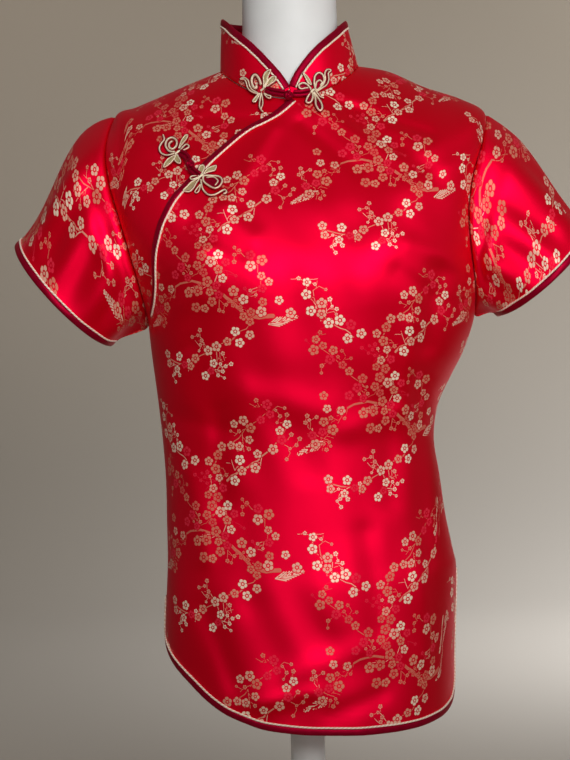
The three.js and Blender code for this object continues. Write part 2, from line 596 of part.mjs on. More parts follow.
// ---- frogs and knots ----
function mergedSolid(geometry) {
  const bare = geometry.clone();
  bare.deleteAttribute('normal');
  bare.deleteAttribute('uv');
  const merged = mergeVertices(bare, 1e-4);
  return new wasm.Manifold(new wasm.Mesh({
    numProp: 3,
    vertProperties: new Float32Array(merged.attributes.position.array),
    triVerts: new Uint32Array(merged.index.array),
  }));
}

function petalOutline(length, width, inset) {
  const points = [];
  const steps = 12;
  for (let k = 0; k < steps; k += 1) {
    const turn = (2 * Math.PI * k) / steps;
    const along = (length * (1 - Math.cos(turn))) / 2;
    const bulge = -Math.sin(turn) * (0.55 + 0.45 * (along / length));
    points.push(new THREE.Vector2(along, (bulge * width) / 2));
  }
  const middle = new THREE.Vector2(length * 0.55, 0);
  return points.map((p) => p.sub(middle).multiply(new THREE.Vector2(
    1 - (2 * inset) / length, 1 - (2 * inset) / width)).add(middle));
}

function petalSolid({ x, z, width }) {
  const length = Math.hypot(x, z);
  const shape = new THREE.Shape(petalOutline(length, width, 0));
  if (width > 1.8 * FROG_STRAND) shape.holes.push(new THREE.Path(petalOutline(length, width, FROG_STRAND * 0.8)));
  const solid = new THREE.ExtrudeGeometry(shape, { depth: FROG_THICKNESS, bevelEnabled: false });
  return mergedSolid(solid.rotateZ(Math.atan2(z, x)));
}

// Foremost cloth at a place seen from the front: the body's front or the collar's.
function frontDepth(x, z) {
  let nearest = { gap: Infinity, y: 0 };
  const consider = (point) => {
    const gap = Math.hypot(point.x - x, point.z - z);
    if (gap < nearest.gap) nearest = { gap, y: point.y };
  };
  for (let level = 0; level <= 6; level += 0.1) {
    for (let angle = 20; angle <= 130; angle += 1.5) consider(bodyPoint('front', angle, level));
  }
  for (let angle = 40; angle <= 140; angle += 1.5) {
    for (let up = 0; up <= 1; up += 0.1) consider(collarPoint(angle, up));
  }
  return nearest.y;
}

const FROG_CLEARANCE = 3.9;

function addFrogs() {
  for (const [name, { middle, petals }] of Object.entries(FROGS)) {
    const hub = new THREE.CylinderGeometry(3, 3, FROG_THICKNESS, 10).rotateX(Math.PI / 2);
    let frog = mergedSolid(hub.translate(0, 0, FROG_THICKNESS / 2));
    for (const petal of petals) frog = frog.add(petalSolid(petal));
    const { vertProperties, triVerts } = frog.getMesh();
    const slope = frogPlane(middle);
    const points = [];
    for (let i = 0; i < vertProperties.length; i += 3) {
      const [x, z, high] = [vertProperties[i], vertProperties[i + 1], vertProperties[i + 2]];
      points.push(new THREE.Vector3(middle[0] + x, slope(x, z) - FROG_CLEARANCE - high, middle[1] + z));
    }
    addPiece(name, geometryFrom(points, Array.from(triVerts)), GOLD_CORD);
  }
}

// A gently curved sheet that touches the cloth at a frog's ends and clears it between them.
function frogPlane([x, z]) {
  const reach = 20;
  const depthAt = (dx, dz) => frontDepth(x + dx, z + dz);
  const centre = depthAt(0, 0);
  const [left, right] = [depthAt(-reach, 0), depthAt(reach, 0)];
  const [low, high] = [depthAt(0, -reach), depthAt(0, reach)];
  const tiltX = (right - left) / (2 * reach);
  const tiltZ = (high - low) / (2 * reach);
  const bendX = Math.max(0, (left + right - 2 * centre) / (2 * reach * reach));
  const bendZ = Math.max(0, (low + high - 2 * centre) / (2 * reach * reach));
  return (dx, dz) => centre + tiltX * dx + tiltZ * dz + bendX * dx * dx + bendZ * dz * dz;
}

function addKnots() {
  for (const [name, [x, z]] of Object.entries(KNOTS)) {
    const ball = new THREE.SphereGeometry(KNOT_RADIUS, 10, 6);
    const stand = frontDepth(x, z) - FROG_CLEARANCE - FROG_THICKNESS - SEAM_GAP - KNOT_RADIUS;
    addPiece(name, ball.translate(x, stand, z), SATIN);
  }
}

// ---- dress form, pole and base ----
function formRing(level, inset) {
  const ring = [];
  const count = 28;
  for (let k = 0; k < count; k += 1) {
    const turn = (360 * k) / count;
    const [half, angle] = turn <= 180 ? ['front', turn] : ['back', 360 - turn];
    const point = bodyPoint(half, angle, level, 0);
    ring.push(point.addScaledVector(bodyNormal(half, angle, level), -inset));
  }
  return ring;
}

function neckRing(radius, z) {
  return Array.from({ length: 28 }, (_, k) => {
    const turn = (2 * Math.PI * k) / 28;
    return new THREE.Vector3(-radius * Math.cos(turn), -radius * Math.sin(turn), z);
  });
}

function addForm() {
  const levels = [1, 2, 3, 4, 5, 6, 7, 8, 9, 10, 11, 12, 13, 14, 15, 16, 17, 18];
  const bottom = formRing(VENT_TOP, FORM_INSET + 4).map((p) => p.clone().setZ(FORM_BOTTOM));
  const rings = [formRing(NECK, FORM_INSET + 4), ...levels.map((level) => formRing(level, FORM_INSET))].reverse();
  const neck = [[54, 912], [50, 930], [NECK_RADIUS, 950], [NECK_RADIUS, NECK_TOP - 8],
    [NECK_RADIUS - 3, NECK_TOP - 2], [NECK_RADIUS - 9, NECK_TOP]].map(([radius, z]) => neckRing(radius, z));
  addPiece('form_body', loft([bottom, ...rings, ...neck], false), FORM_PAINT);
  const poleBottom = BASE_THICKNESS + SEAM_GAP;
  const length = FORM_BOTTOM - SEAM_GAP - poleBottom;
  const pole = new THREE.CylinderGeometry(POLE_RADIUS, POLE_RADIUS, length, 32).rotateX(Math.PI / 2);
  addPiece('form_pole', pole.translate(0, 0, poleBottom + length / 2), FORM_PAINT);
  const rim = 2;
  const profile = [[0, 0], [BASE_RADIUS, 0], [BASE_RADIUS, BASE_THICKNESS - rim],
    [BASE_RADIUS - rim, BASE_THICKNESS], [0, BASE_THICKNESS]].map(([r, z]) => new THREE.Vector2(r, z));
  addPiece('form_base', new THREE.LatheGeometry(profile, 48).rotateX(Math.PI / 2), FORM_PAINT);
}

addPanels();
addSleeves();
addCollar();
addBoundEdges();
addFrogs();
addKnots();
addForm();

export default group;
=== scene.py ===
import json
import math
import random

import bpy
import numpy as np
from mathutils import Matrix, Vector

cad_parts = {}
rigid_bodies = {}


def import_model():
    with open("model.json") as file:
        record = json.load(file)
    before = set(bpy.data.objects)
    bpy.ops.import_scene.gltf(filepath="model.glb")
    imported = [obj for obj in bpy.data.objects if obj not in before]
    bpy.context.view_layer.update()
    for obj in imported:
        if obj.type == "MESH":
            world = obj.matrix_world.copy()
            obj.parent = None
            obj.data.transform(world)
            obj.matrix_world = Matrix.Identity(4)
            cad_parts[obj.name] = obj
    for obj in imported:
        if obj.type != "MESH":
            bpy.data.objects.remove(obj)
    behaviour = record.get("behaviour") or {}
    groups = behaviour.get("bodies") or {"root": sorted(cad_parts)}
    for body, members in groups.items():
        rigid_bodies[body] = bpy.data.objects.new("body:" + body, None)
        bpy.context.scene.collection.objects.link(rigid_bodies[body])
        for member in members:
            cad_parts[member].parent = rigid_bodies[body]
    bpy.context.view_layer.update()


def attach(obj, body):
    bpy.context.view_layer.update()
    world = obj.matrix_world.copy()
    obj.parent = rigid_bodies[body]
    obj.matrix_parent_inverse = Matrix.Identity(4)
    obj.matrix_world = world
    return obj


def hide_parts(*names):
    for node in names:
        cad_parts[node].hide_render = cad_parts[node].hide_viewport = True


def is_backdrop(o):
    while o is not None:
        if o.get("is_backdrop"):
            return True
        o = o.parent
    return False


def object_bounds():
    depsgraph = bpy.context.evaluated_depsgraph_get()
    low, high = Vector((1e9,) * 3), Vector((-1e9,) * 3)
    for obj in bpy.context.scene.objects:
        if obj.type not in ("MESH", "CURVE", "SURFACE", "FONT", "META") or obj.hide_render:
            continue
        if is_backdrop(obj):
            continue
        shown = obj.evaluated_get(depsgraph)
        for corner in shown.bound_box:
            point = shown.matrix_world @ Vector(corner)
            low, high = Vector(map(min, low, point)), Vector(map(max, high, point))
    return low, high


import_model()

# ---------------------------------------------------------------------------
# Camera: level with the waist of the blouse, 1.7 m in front of it, and rolled
# a little, so that the stand leans as it does when held by hand.
# ---------------------------------------------------------------------------
MM = 0.001
CAMERA_DISTANCE = 1.7
CAMERA_HEIGHT = 0.590
CAMERA_SIDE = -0.014
CAMERA_ROLL = math.radians(-1.46)
MM_PER_PIXEL = 1.02
IMAGE_HEIGHT = 760
bpy.ops.object.select_all(action='DESELECT')
bpy.ops.object.camera_add(location=(CAMERA_SIDE, -CAMERA_DISTANCE, CAMERA_HEIGHT),
                          rotation=(math.pi / 2, 0, 0))
camera = bpy.context.object
camera.name = "camera"
camera.rotation_euler.rotate_axis('Z', CAMERA_ROLL)
camera.data.sensor_fit = 'VERTICAL'
camera.data.sensor_height = 36
camera.data.lens = 36 * CAMERA_DISTANCE / (IMAGE_HEIGHT * MM_PER_PIXEL * MM)
bpy.context.scene.camera = camera


# ---------------------------------------------------------------------------
# Studio: a pale floor that sweeps up into a backdrop, painted matt. Plain
# soft lights stand round it; none of this belongs to the object.
# ---------------------------------------------------------------------------
def linear(hex_colour):
    """An sRGB hex colour as linear red, green, blue and alpha."""
    channels = [int(hex_colour[i:i + 2], 16) / 255 for i in (1, 3, 5)]
    return [c / 12.92 if c <= 0.04045 else ((c + 0.055) / 1.055) ** 2.4 for c in channels] + [1.0]


def node(tree, kind, *inputs, **named):
    """Adds a node of a kind, with its operation after a space, and its inputs in order or by name.

    A name with a capital is a socket's, any other a setting's. A node given as an input stands for
    its first output.
    """
    kind, _, operation = kind.partition(" ")
    new = tree.nodes.new("ShaderNode" + kind)
    if operation:
        new.operation = operation
    for key, value in [*enumerate(inputs), *named.items()]:
        if isinstance(value, bpy.types.Node):
            value = value.outputs[0]
        if isinstance(key, str) and key[0].islower():
            setattr(new, key, value)
        elif isinstance(value, bpy.types.NodeSocket):
            tree.links.new(value, new.inputs[key])
        else:
            new.inputs[key].default_value = value
    return new


def material(name, **values):
    """A new material, with the values of its Principled shader's sockets: _ stands for a space."""
    made = bpy.data.materials.new(name)
    made.use_nodes = True
    shader = made.node_tree.nodes["Principled BSDF"]
    for socket, value in values.items():
        shader.inputs[socket.replace("_", " ")].default_value = value
    return made, made.node_tree, shader


def paint_on(tree, shader, colour, bump=None):
    """Links a colour, and a bump if there is one, to a shader."""
    tree.links.new(colour.outputs[0], shader.inputs["Base Color"])
    if bump:
        tree.links.new(bump.outputs[0], shader.inputs["Normal"])


FLOOR_SIZE, FLOOR_ROWS = 16.0, 160
SWEEP_START, SWEEP_RADIUS = 2.6, 2.4
bpy.ops.mesh.primitive_grid_add(x_subdivisions=2, y_subdivisions=FLOOR_ROWS, size=FLOOR_SIZE)
floor = bpy.context.object
floor.name = "studio_floor"
for corner in floor.data.vertices:
    beyond = corner.co.y - SWEEP_START
    turn = min(max(beyond / SWEEP_RADIUS, 0), math.pi / 2)
    if beyond > 0:
        corner.co.y = SWEEP_START + SWEEP_RADIUS * math.sin(turn)
        corner.co.z = SWEEP_RADIUS * (1 - math.cos(turn)) + max(0, beyond - SWEEP_RADIUS * math.pi / 2)
floor.data.shade_smooth()
paint, tree, shader = material("matt_wall_paint", Roughness=0.9)
cloud = node(tree, "TexNoise", Scale=3.0, Detail=2.0)
paint_on(tree, shader, node(tree, "MixRGB", cloud.outputs["Fac"], linear("#B2A798"), linear("#B6AB9C")))
floor.data.materials.append(paint)
floor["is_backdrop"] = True

LIGHT_COLUMNS = ("name", "at", "aim", "size", "spread", "tint", "power")
LIGHTS = [
    # place and aim, metres; width and height; spread, degrees; tint; watts
    ("key_front", (0.5, -2.1, 1.42), (0.05, 0.0, 0.84), (1.8, 1.1), 50, "#FFFFFF", 4.8),
    ("front_low", (0.5, -2.1, 0.3), (0.08, 0.0, 0.8), (1.3, 0.5), 40, "#FFFFFF", 0.6),
    ("front_right", (2.5, -1.2, 0.75), (0.05, 0.0, 0.6), (0.7, 1.0), 180, "#FFFFFF", 3),
    ("wall_left", (-2.0, 1.8, 2.6), (-1.0, 5.0, 3.0), (1.0, 1.0), 100, "#FFF8F2", 10),
    ("wall_top_right", (2.6, 2.2, 2.4), (1.8, 5.0, 2.2), (1.0, 1.0), 110, "#FFFFFF", 20),
    ("wall_right", (2.2, 2.2, 1.5), (1.1, 3.0, 0.2), (0.9, 0.9), 120, "#EAF2FF", 26),
    ("floor_right", (1.5, 1.5, 1.1), (0.8, 1.7, 0.0), (0.9, 0.9), 110, "#EAF2FF", 12),
]
for row in (dict(zip(LIGHT_COLUMNS, values)) for values in LIGHTS):
    way = Vector(row["aim"]) - Vector(row["at"])
    bpy.ops.object.light_add(type='AREA', location=row["at"],
                             rotation=way.to_track_quat('-Z', 'Y').to_euler())
    lamp = bpy.context.object
    lamp.name = row["name"]
    lamp.data.shape = 'RECTANGLE'
    lamp.data.size, lamp.data.size_y = row["size"]
    lamp.data.spread = math.radians(row["spread"])
    lamp.data.color = linear(row["tint"])[:3]
    lamp.data.energy = row["power"]
    lamp.visible_camera = False
world = bpy.data.worlds.new("soft_room_light")
world.use_nodes = True
sky = world.node_tree.nodes["Background"]
sky.inputs["Color"].default_value = linear("#E6E2DC")
sky.inputs["Strength"].default_value = 0.22
bpy.context.scene.world = world
bpy.context.scene.view_settings.view_transform = 'Standard'


# ---------------------------------------------------------------------------
# Front: one panel of satin brocade, lapped over to the wearer's right and
# shaped by bust and waist darts. It hangs from the shoulders over the form.
# ---------------------------------------------------------------------------
# Seams and depths of the body at each level, millimetres, as the frame has them.
COLUMNS = ("zL", "zR", "zF", "zB", "xL", "xR", "yL", "yR", "yF", "yB", "arm")
LEVELS = np.array([
    (906, 908, 867, 914, -72, 69, 2, 2, -64, 66, 0),
    (896, 902, 848, 902, -100, 100, 4, 4, -72, 73, 0),
    (884, 886, 828, 884, -130, 135, 6, 6, -81, 80, 0),
    (873, 873, 806, 862, -158, 172, 8, 8, -91, 91, 0),
    (864, 857, 783, 838, -180, 197, 9, 9, -101, 100, 0),
    (826, 826, 757, 803, -187, 190, 9, 9, -112, 107, 19),
    (790, 788, 730, 768, -183, 177, 8, 8, -120, 109, 25),
    (755, 750, 706, 735, -174, 171, 7, 7, -126, 108, 27),
    (714, 712, 683, 703, -163, 173, 5, 6, -128, 105, 25),
    (676, 678, 661, 674, -154, 178, 3, 4, -126, 102, 17),
    (648, 652, 640, 649, -151, 180, 0, 3, -123, 99, 0),
    (616, 618, 614, 617, -148, 169, -1, 3, -119, 95, 0),
    (590, 591, 589, 590, -145, 155, -2, 4, -114, 92, 0),
    (562, 562, 561, 562, -142, 141, -3, 4, -109, 89, 0),
    (528, 528, 528, 528, -139, 136, -4, 6, -104, 88, 0),
    (490, 490, 490, 490, -137, 141, -6, 8, -102, 92, 0),
    (450, 450, 450, 450, -137, 146, -8, 10, -103, 99, 0),
    (412, 414, 412, 412, -137, 153, -10, 12, -106, 105, 0),
    (375, 394, 384, 384, -139, 156, -12, 14, -109, 109, 0),
    (330, 330, 330, 330, -141, 153, -13, 15, -112, 112, 0),
    (285, 285, 285, 285, -141, 151, -14, 15, -114, 114, 0),
    (240, 240, 240, 240, -141, 151, -14, 15, -115, 115, 0),
], dtype=float)
SHOULDER_TIP, UNDERARM, VENT_TOP, LAST_LEVEL = 4, 10, 18, 21
SEAM_GAP = 0.3
# The slanting edge as an angle at each level, and the hem's height at each angle.
OPENING = np.array([(0, 90), (0.5, 84.5), (1, 78), (1.5, 72), (2, 68), (3, 64.5), (4, 62), (5, 58.4), (6, 53.8),
                    (7, 48.4), (8, 40.8), (8.5, 36.5), (9, 29.5), (9.5, 19), (10, 8), (10.6, 0)], dtype=float)
HEM = np.array([(0, 334), (8, 330), (16, 322), (24, 314), (32, 306), (40, 297), (50, 283), (60, 271),
                (75, 258), (90, 252), (105, 250), (120, 250), (135, 252), (150, 256), (162, 263),
                (172, 276), (180, 300)], dtype=float)
# Mounds (height above 0), darts, troughs and ridges of the cloth: half, ends on x and z, width, height.
FOLDS = [
    ("front", -82, 702, -78, 686, 50, 8), ("front", 88, 702, 84, 684, 50, 8),
    ("front", -80, 560, -78, 470, 11, -3), ("front", 84, 565, 86, 470, 12, -3),
    ("front", 138, 690, 124, 622, 14, -4.5), ("front", 118, 584, 122, 420, 13, -4),
    ("front", -60, 850, -140, 800, 18, -2), ("front", 60, 846, 140, 780, 13, -3),
    ("front", -74, 284, -20, 300, 18, 2.5), ("front", 20, 350, 70, 300, 22, -3),
    ("back", -80, 640, -76, 450, 12, -3), ("back", 82, 640, 78, 450, 12, -3),
    ("back", -90, 580, 90, 566, 14, 4), ("back", -50, 536, 50, 528, 13, -2.5),
    ("back", -20, 820, -110, 770, 16, -4), ("back", 20, 820, 120, 760, 16, -4),
]


def smooth(f):
    """A soft step from 0 to 1."""
    c = np.clip(f, 0, 1)
    return c * c * (3 - 2 * c)


def spline(a, b, c, d, f):
    """A smooth curve from b to c, with a before and d after them, at shares f of the way."""
    bend = a - 2.5 * b + 2 * c - 0.5 * d
    return b + f * (0.5 * (c - a) + f * (bend + f * (1.5 * (b - c) + 0.5 * (d - a))))


def level_value(column, level):
    """A column of the levels table on a smooth curve through its rows."""
    values = LEVELS[:, COLUMNS.index(column)]
    level = np.asarray(level, dtype=float)
    k = np.clip(np.floor(level), 0, LAST_LEVEL - 1).astype(int)
    near = (values[np.clip(k + i, 0, LAST_LEVEL)] for i in (-1, 0, 1, 2))
    curve = spline(*near, level - k)
    if column == "arm":
        curve = np.where((level <= SHOULDER_TIP) | (level >= UNDERARM), 0, curve)
    return curve


def fold_height(half, x, z, folds):
    """Height of the mounds and folds at places seen from the front, in millimetres."""
    height = np.zeros_like(x)
    for side, x0, z0, x1, z1, width, high in folds:
        if side != half:
            continue
        dx, dz = x1 - x0, z1 - z0
        f = np.clip(((x - x0) * dx + (z - z0) * dz) / (dx * dx + dz * dz), 0, 1)
        away = np.hypot(x - x0 - f * dx, z - z0 - f * dz)
        height += high * np.exp(-(away / width) ** 2)
    return height


def body_point(half, angle, level, folds=FOLDS):
    """Points of the outer face, millimetres: angle 0 is the wearer's right seam, 90 the middle."""
    angle, level = np.broadcast_arrays(np.asarray(angle, dtype=float), np.asarray(level, dtype=float))
    turn = np.radians(angle)
    square = 2 / (2 + 0.35 * smooth(level / 6))
    arm_angle = level_value("arm", level)
    arm = np.radians(arm_angle)
    seam_x = np.where(angle < 90, level_value("xL", level), level_value("xR", level))
    seam_y = np.where(angle < 90, level_value("yL", level), level_value("yR", level))
    left_share = (1 - np.cos(turn)) / 2
    seam_z = level_value("zL", level) * (1 - left_share) + level_value("zR", level) * left_share
    middle = (LEVELS[0, 4] + LEVELS[0, 5]) / 2 * smooth(1 - level / 4)
    sine = np.clip(np.sin(turn), 0, 1)
    across = np.abs(np.cos(turn)) ** square / np.cos(arm) ** square
    x = middle + (seam_x - middle) * across
    front = half == "front"
    depth = level_value("yF" if front else "yB", level)
    y = seam_y + (depth - seam_y) * sine ** square + (-SEAM_GAP / 2 if front else SEAM_GAP / 2)
    dip = np.sin(arm) ** 1.6
    rise = (sine ** 1.6 - dip) / (1 - dip)
    z = seam_z + (level_value("zF" if front else "zB", level) - seam_z) * rise
    fade = smooth((np.minimum(angle, 180 - angle) - arm_angle) / 14)
    folded = fold_height(half, x, z, folds) * fade
    return np.stack([x, y + (-folded if front else folded), z], axis=-1)


# Creases of the worn cloth, finer than the frame's: soft pulls from the frogs and the collar,
# drag lines at the bust, and slack above the hem.
CREASES = [
    ("front", -20, 836, -64, 760, 9, 2.2), ("front", 8, 840, 60, 792, 8, -2.0),
    ("front", 30, 852, 104, 800, 8, 2.4), ("front", 46, 862, 134, 828, 7, -2.2),
    ("front", -84, 852, -44, 846, 7, -1.8), ("front", -128, 822, -100, 806, 8, 2.0),
    ("front", -88, 770, -40, 728, 11, 1.9), ("front", -100, 740, -52, 712, 10, -1.8),
    ("front", -112, 700, -84, 716, 9, 2.0), ("front", -142, 640, -96, 672, 10, 2.4),
    ("front", -144, 606, -104, 626, 8, -2.2), ("front", 150, 700, 110, 716, 10, 2.0),
    ("front", 128, 668, 96, 690, 9, -2.2), ("front", 110, 640, 100, 560, 9, 2.2),
    ("front", -50, 580, 20, 560, 15, 1.9), ("front", -118, 556, -60, 540, 11, -2.0),
    ("front", 40, 540, 104, 556, 12, 1.8), ("front", -110, 500, -96, 420, 10, 2.3),
    ("front", -60, 470, -50, 380, 16, -2.0), ("front", 10, 480, 20, 360, 18, 2.0),
    ("front", 60, 440, 70, 350, 12, -2.2), ("front", 112, 420, 116, 320, 10, 2.6),
    ("front", -96, 366, -70, 300, 11, -2.4), ("front", -46, 282, 6, 292, 8, 3.0),
    ("front", 22, 270, 70, 286, 9, -1.9), ("front", -10, 310, 50, 330, 12, 2.0),
    ("back", -30, 840, -90, 790, 10, 2.4), ("back", 30, 840, 96, 780, 10, 2.4),
    ("back", -130, 700, -70, 720, 12, -2.2), ("back", 132, 690, 76, 716, 12, -2.2),
    ("back", -60, 606, 60, 598, 9, 2.4), ("back", -70, 556, 80, 548, 9, -2.2),
    ("back", -110, 500, -100, 400, 11, 2.4), ("back", -40, 480, -44, 340, 16, -2.2),
    ("back", 20, 500, 30, 350, 15, 2.3), ("back", 106, 480, 110, 360, 12, -2.4),
    ("back", -20, 300, 40, 310, 11, 2.4),
]
CLOTH_THICKNESS = 0.8
ROWS_PER_LEVEL = 9
BODY_COLUMNS = 128
SEAM_REACH, SEAM_DEPTH = 2.2, 0.35


def body_form(half, angle, level):
    """The worn outer face with every crease, in millimetres."""
    point = body_point(half, angle, level, FOLDS + CREASES)
    x, z = point[..., 0], point[..., 2]
    ripple = (0.75 * np.sin(x / 13.0 + 1.8 * np.sin(z / 47.0)) * np.sin(z / 38.0 + 0.9 * np.sin(x / 31.0))
              + 0.35 * np.sin(x / 7.5 + z / 21.0 + 1.2 * np.sin(z / 29.0)))
    arm = level_value("arm", level)
    quiet = smooth((np.minimum(angle, 180 - angle) - arm) / 16)
    point[..., 1] += (-ripple if half == "front" else ripple) * quiet
    return point


def grid_normals(points, outward):
    """Unit normals of a grid of points, on the side towards `outward` (vectors at each point)."""
    down = np.gradient(points, axis=0)
    along = np.gradient(points, axis=1)
    normals = np.cross(down, along)
    normals /= np.linalg.norm(normals, axis=-1, keepdims=True) + 1e-9
    sign = np.sign((normals * outward).sum(axis=-1, keepdims=True))
    return normals * np.where(sign == 0, 1, sign)


def body_outward(points):
    """Directions away from the body's upright axis, with a rise over the shoulders."""
    rise = np.where(points[..., 2] > 800, 60.0, 0.0)
    return np.stack([points[..., 0], points[..., 1], rise], axis=-1)


def row_lengths(points):
    """Length along the cloth from the start of each row to each of its points."""
    steps = np.linalg.norm(np.diff(points, axis=1), axis=-1)
    return np.concatenate([np.zeros((len(points), 1)), np.cumsum(steps, axis=1)], axis=1)


def mesh_piece(name, points, faces, corners):
    """A smooth piece from points in millimetres, faces, and the UV places of their corners, metres."""
    mesh = bpy.data.meshes.new(name)
    mesh.from_pydata((points.reshape(-1, 3) * MM).tolist(), [], faces)
    mesh.uv_layers.new(name="cloth").uv.foreach_set("vector", corners.astype(np.float32).ravel())
    mesh.shade_smooth()
    piece = bpy.data.objects.new(name, mesh)
    bpy.context.collection.objects.link(piece)
    return piece


def quads_between(index):
    """The four corners of each cell of a grid of numbers."""
    return np.stack([index[:-1, :-1], index[1:, :-1], index[1:, 1:], index[:-1, 1:]], axis=2)


def grid_mesh(name, points, uv):
    """A sheet from a grid of points in millimetres, with its UV map in metres of flat cloth."""
    quads = quads_between(np.arange(points[..., 0].size).reshape(points.shape[:2])).reshape(-1, 4)
    return mesh_piece(name, points, quads.tolist(), uv.reshape(-1, 2)[quads.reshape(-1)])


def outward_faces(piece, outward):
    """Turns a sheet's faces so that they look outward; `outward` is a vector for each vertex."""
    mesh = piece.data
    normals = np.empty(len(mesh.polygons) * 3)
    mesh.polygons.foreach_get("normal", normals)
    firsts = np.array([polygon.vertices[0] for polygon in mesh.polygons])
    if (normals.reshape(-1, 3) * outward.reshape(-1, 3)[firsts]).sum() < 0:
        mesh.flip_normals()


def thicken(piece, thickness=CLOTH_THICKNESS):
    """Gives a sheet its thickness, inward from the outer face."""
    solid = piece.modifiers.new("thickness", 'SOLIDIFY')
    solid.thickness = thickness * MM
    solid.offset = -1
    solid.use_even_offset = False


def hem_level(half, angles):
    """The level at which each angle's column meets the curved hem."""
    target = np.interp(angles, HEM[:, 0], HEM[:, 1])
    low = np.full_like(angles, float(VENT_TOP))
    high = np.full_like(angles, float(LAST_LEVEL))
    for _ in range(26):
        middle = (low + high) / 2
        above = body_point(half, angles, middle)[..., 2] > target
        low = np.where(above, middle, low)
        high = np.where(above, high, middle)
    return low


def opening_angle(level):
    """The slanting edge, as an angle."""
    return np.interp(level, OPENING[:, 0], OPENING[:, 1])


# Tables of lengths: rows down the body, columns by angle or by distance from the middle.
RUN_ROWS, RUN_BUST = 241, 8.5
RUN_X = np.arange(-240.0, 241.0, 4.0)


def cloth_runs(half):
    """Lengths of cloth out from the middle, by level and angle, and up from the bust, by level and x."""
    levels, angles = np.meshgrid(np.linspace(0, LAST_LEVEL, RUN_ROWS), np.linspace(0, 180, RUN_ROWS),
                                 indexing='ij')
    grid = body_form(half, angles, levels)
    places = np.array([[np.interp(RUN_X, row[:, 0], row[:, k]) for k in (1, 2)] for row in grid])
    down = np.hypot(np.diff(places[:, 0], axis=0), np.diff(places[:, 1], axis=0))
    down = np.concatenate([np.zeros((1, len(RUN_X))), np.cumsum(down, axis=0)])
    bust = int(RUN_BUST / LAST_LEVEL * (RUN_ROWS - 1))
    up = places[bust, 1] + down[bust] - down
    out = row_lengths(grid[..., :2])
    middle = RUN_ROWS // 2
    return out + (grid[:, middle, 0] - out[:, middle])[:, None], up


RUNS = {half: cloth_runs(half) for half in ("front", "back")}


def cloth_places(half, angle, x, level):
    """The u and v of places on a half's cloth, millimetres, read from its tables of lengths."""
    row = np.clip(level / LAST_LEVEL * (RUN_ROWS - 1), 0, RUN_ROWS - 1.001)
    columns = angle / 180 * (RUN_ROWS - 1), (x - RUN_X[0]) / (RUN_X[1] - RUN_X[0])
    places = []
    for table, column in zip(RUNS[half], columns):
        column = np.clip(column, 0, table.shape[1] - 1.001)
        i, j = row.astype(int), column.astype(int)
        f, g = row - i, column - j
        places.append(table[i, j] * (1 - f) * (1 - g) + table[i + 1, j] * f * (1 - g)
                      + table[i, j + 1] * (1 - f) * g + table[i + 1, j + 1] * f * g)
    return places


def body_sheet(name, half, last_row, columns, first_angle, last_angle, drop=None):
    """A panel of the body between two angles that may change with the level."""
    top = np.arange(0, min(last_row, VENT_TOP) + 1e-6, 1 / ROWS_PER_LEVEL)
    tail = np.linspace(0, 1, 1 + 3 * ROWS_PER_LEVEL)[1:] if last_row > VENT_TOP else np.zeros(0)
    across = np.linspace(0, 1, columns)
    shown = np.concatenate([top, np.full(len(tail), float(VENT_TOP))])
    angle = first_angle(shown)[:, None] + (last_angle(shown) - first_angle(shown))[:, None] * across
    level = np.repeat(shown[:, None], columns, axis=1)
    if len(tail):
        foot = hem_level(half, angle[-1])
        level[len(top):] += tail[:, None] * (foot - VENT_TOP)
    points = body_form(half, angle, level)
    if drop is not None:
        normals = grid_normals(points, body_outward(points))
        points = points - normals * drop(angle, level)[..., None]
    run = row_lengths(points)
    groove = SEAM_DEPTH * np.exp(-(np.minimum(run, run[:, -1:] - run) / SEAM_REACH) ** 2)
    normals = grid_normals(points, body_outward(points))
    points = points - normals * groove[..., None]
    u, v = cloth_places(half, angle, points[..., 0], level)
    piece = grid_mesh(name, points, np.stack([u, v], axis=-1) * MM)
    outward_faces(piece, body_outward(points))
    return piece, points


def right_seam(level):
    """The armhole or the right side seam, as an angle."""
    return level_value("arm", level)


def left_seam(level):
    """The armhole or the left side seam, as an angle."""
    return 180 - level_value("arm", level)


def front_edge(level):
    """The front's slanting edge, and the right side seam below it, as an angle."""
    return np.where(level < OPENING[-1, 0], opening_angle(level), 0.0)


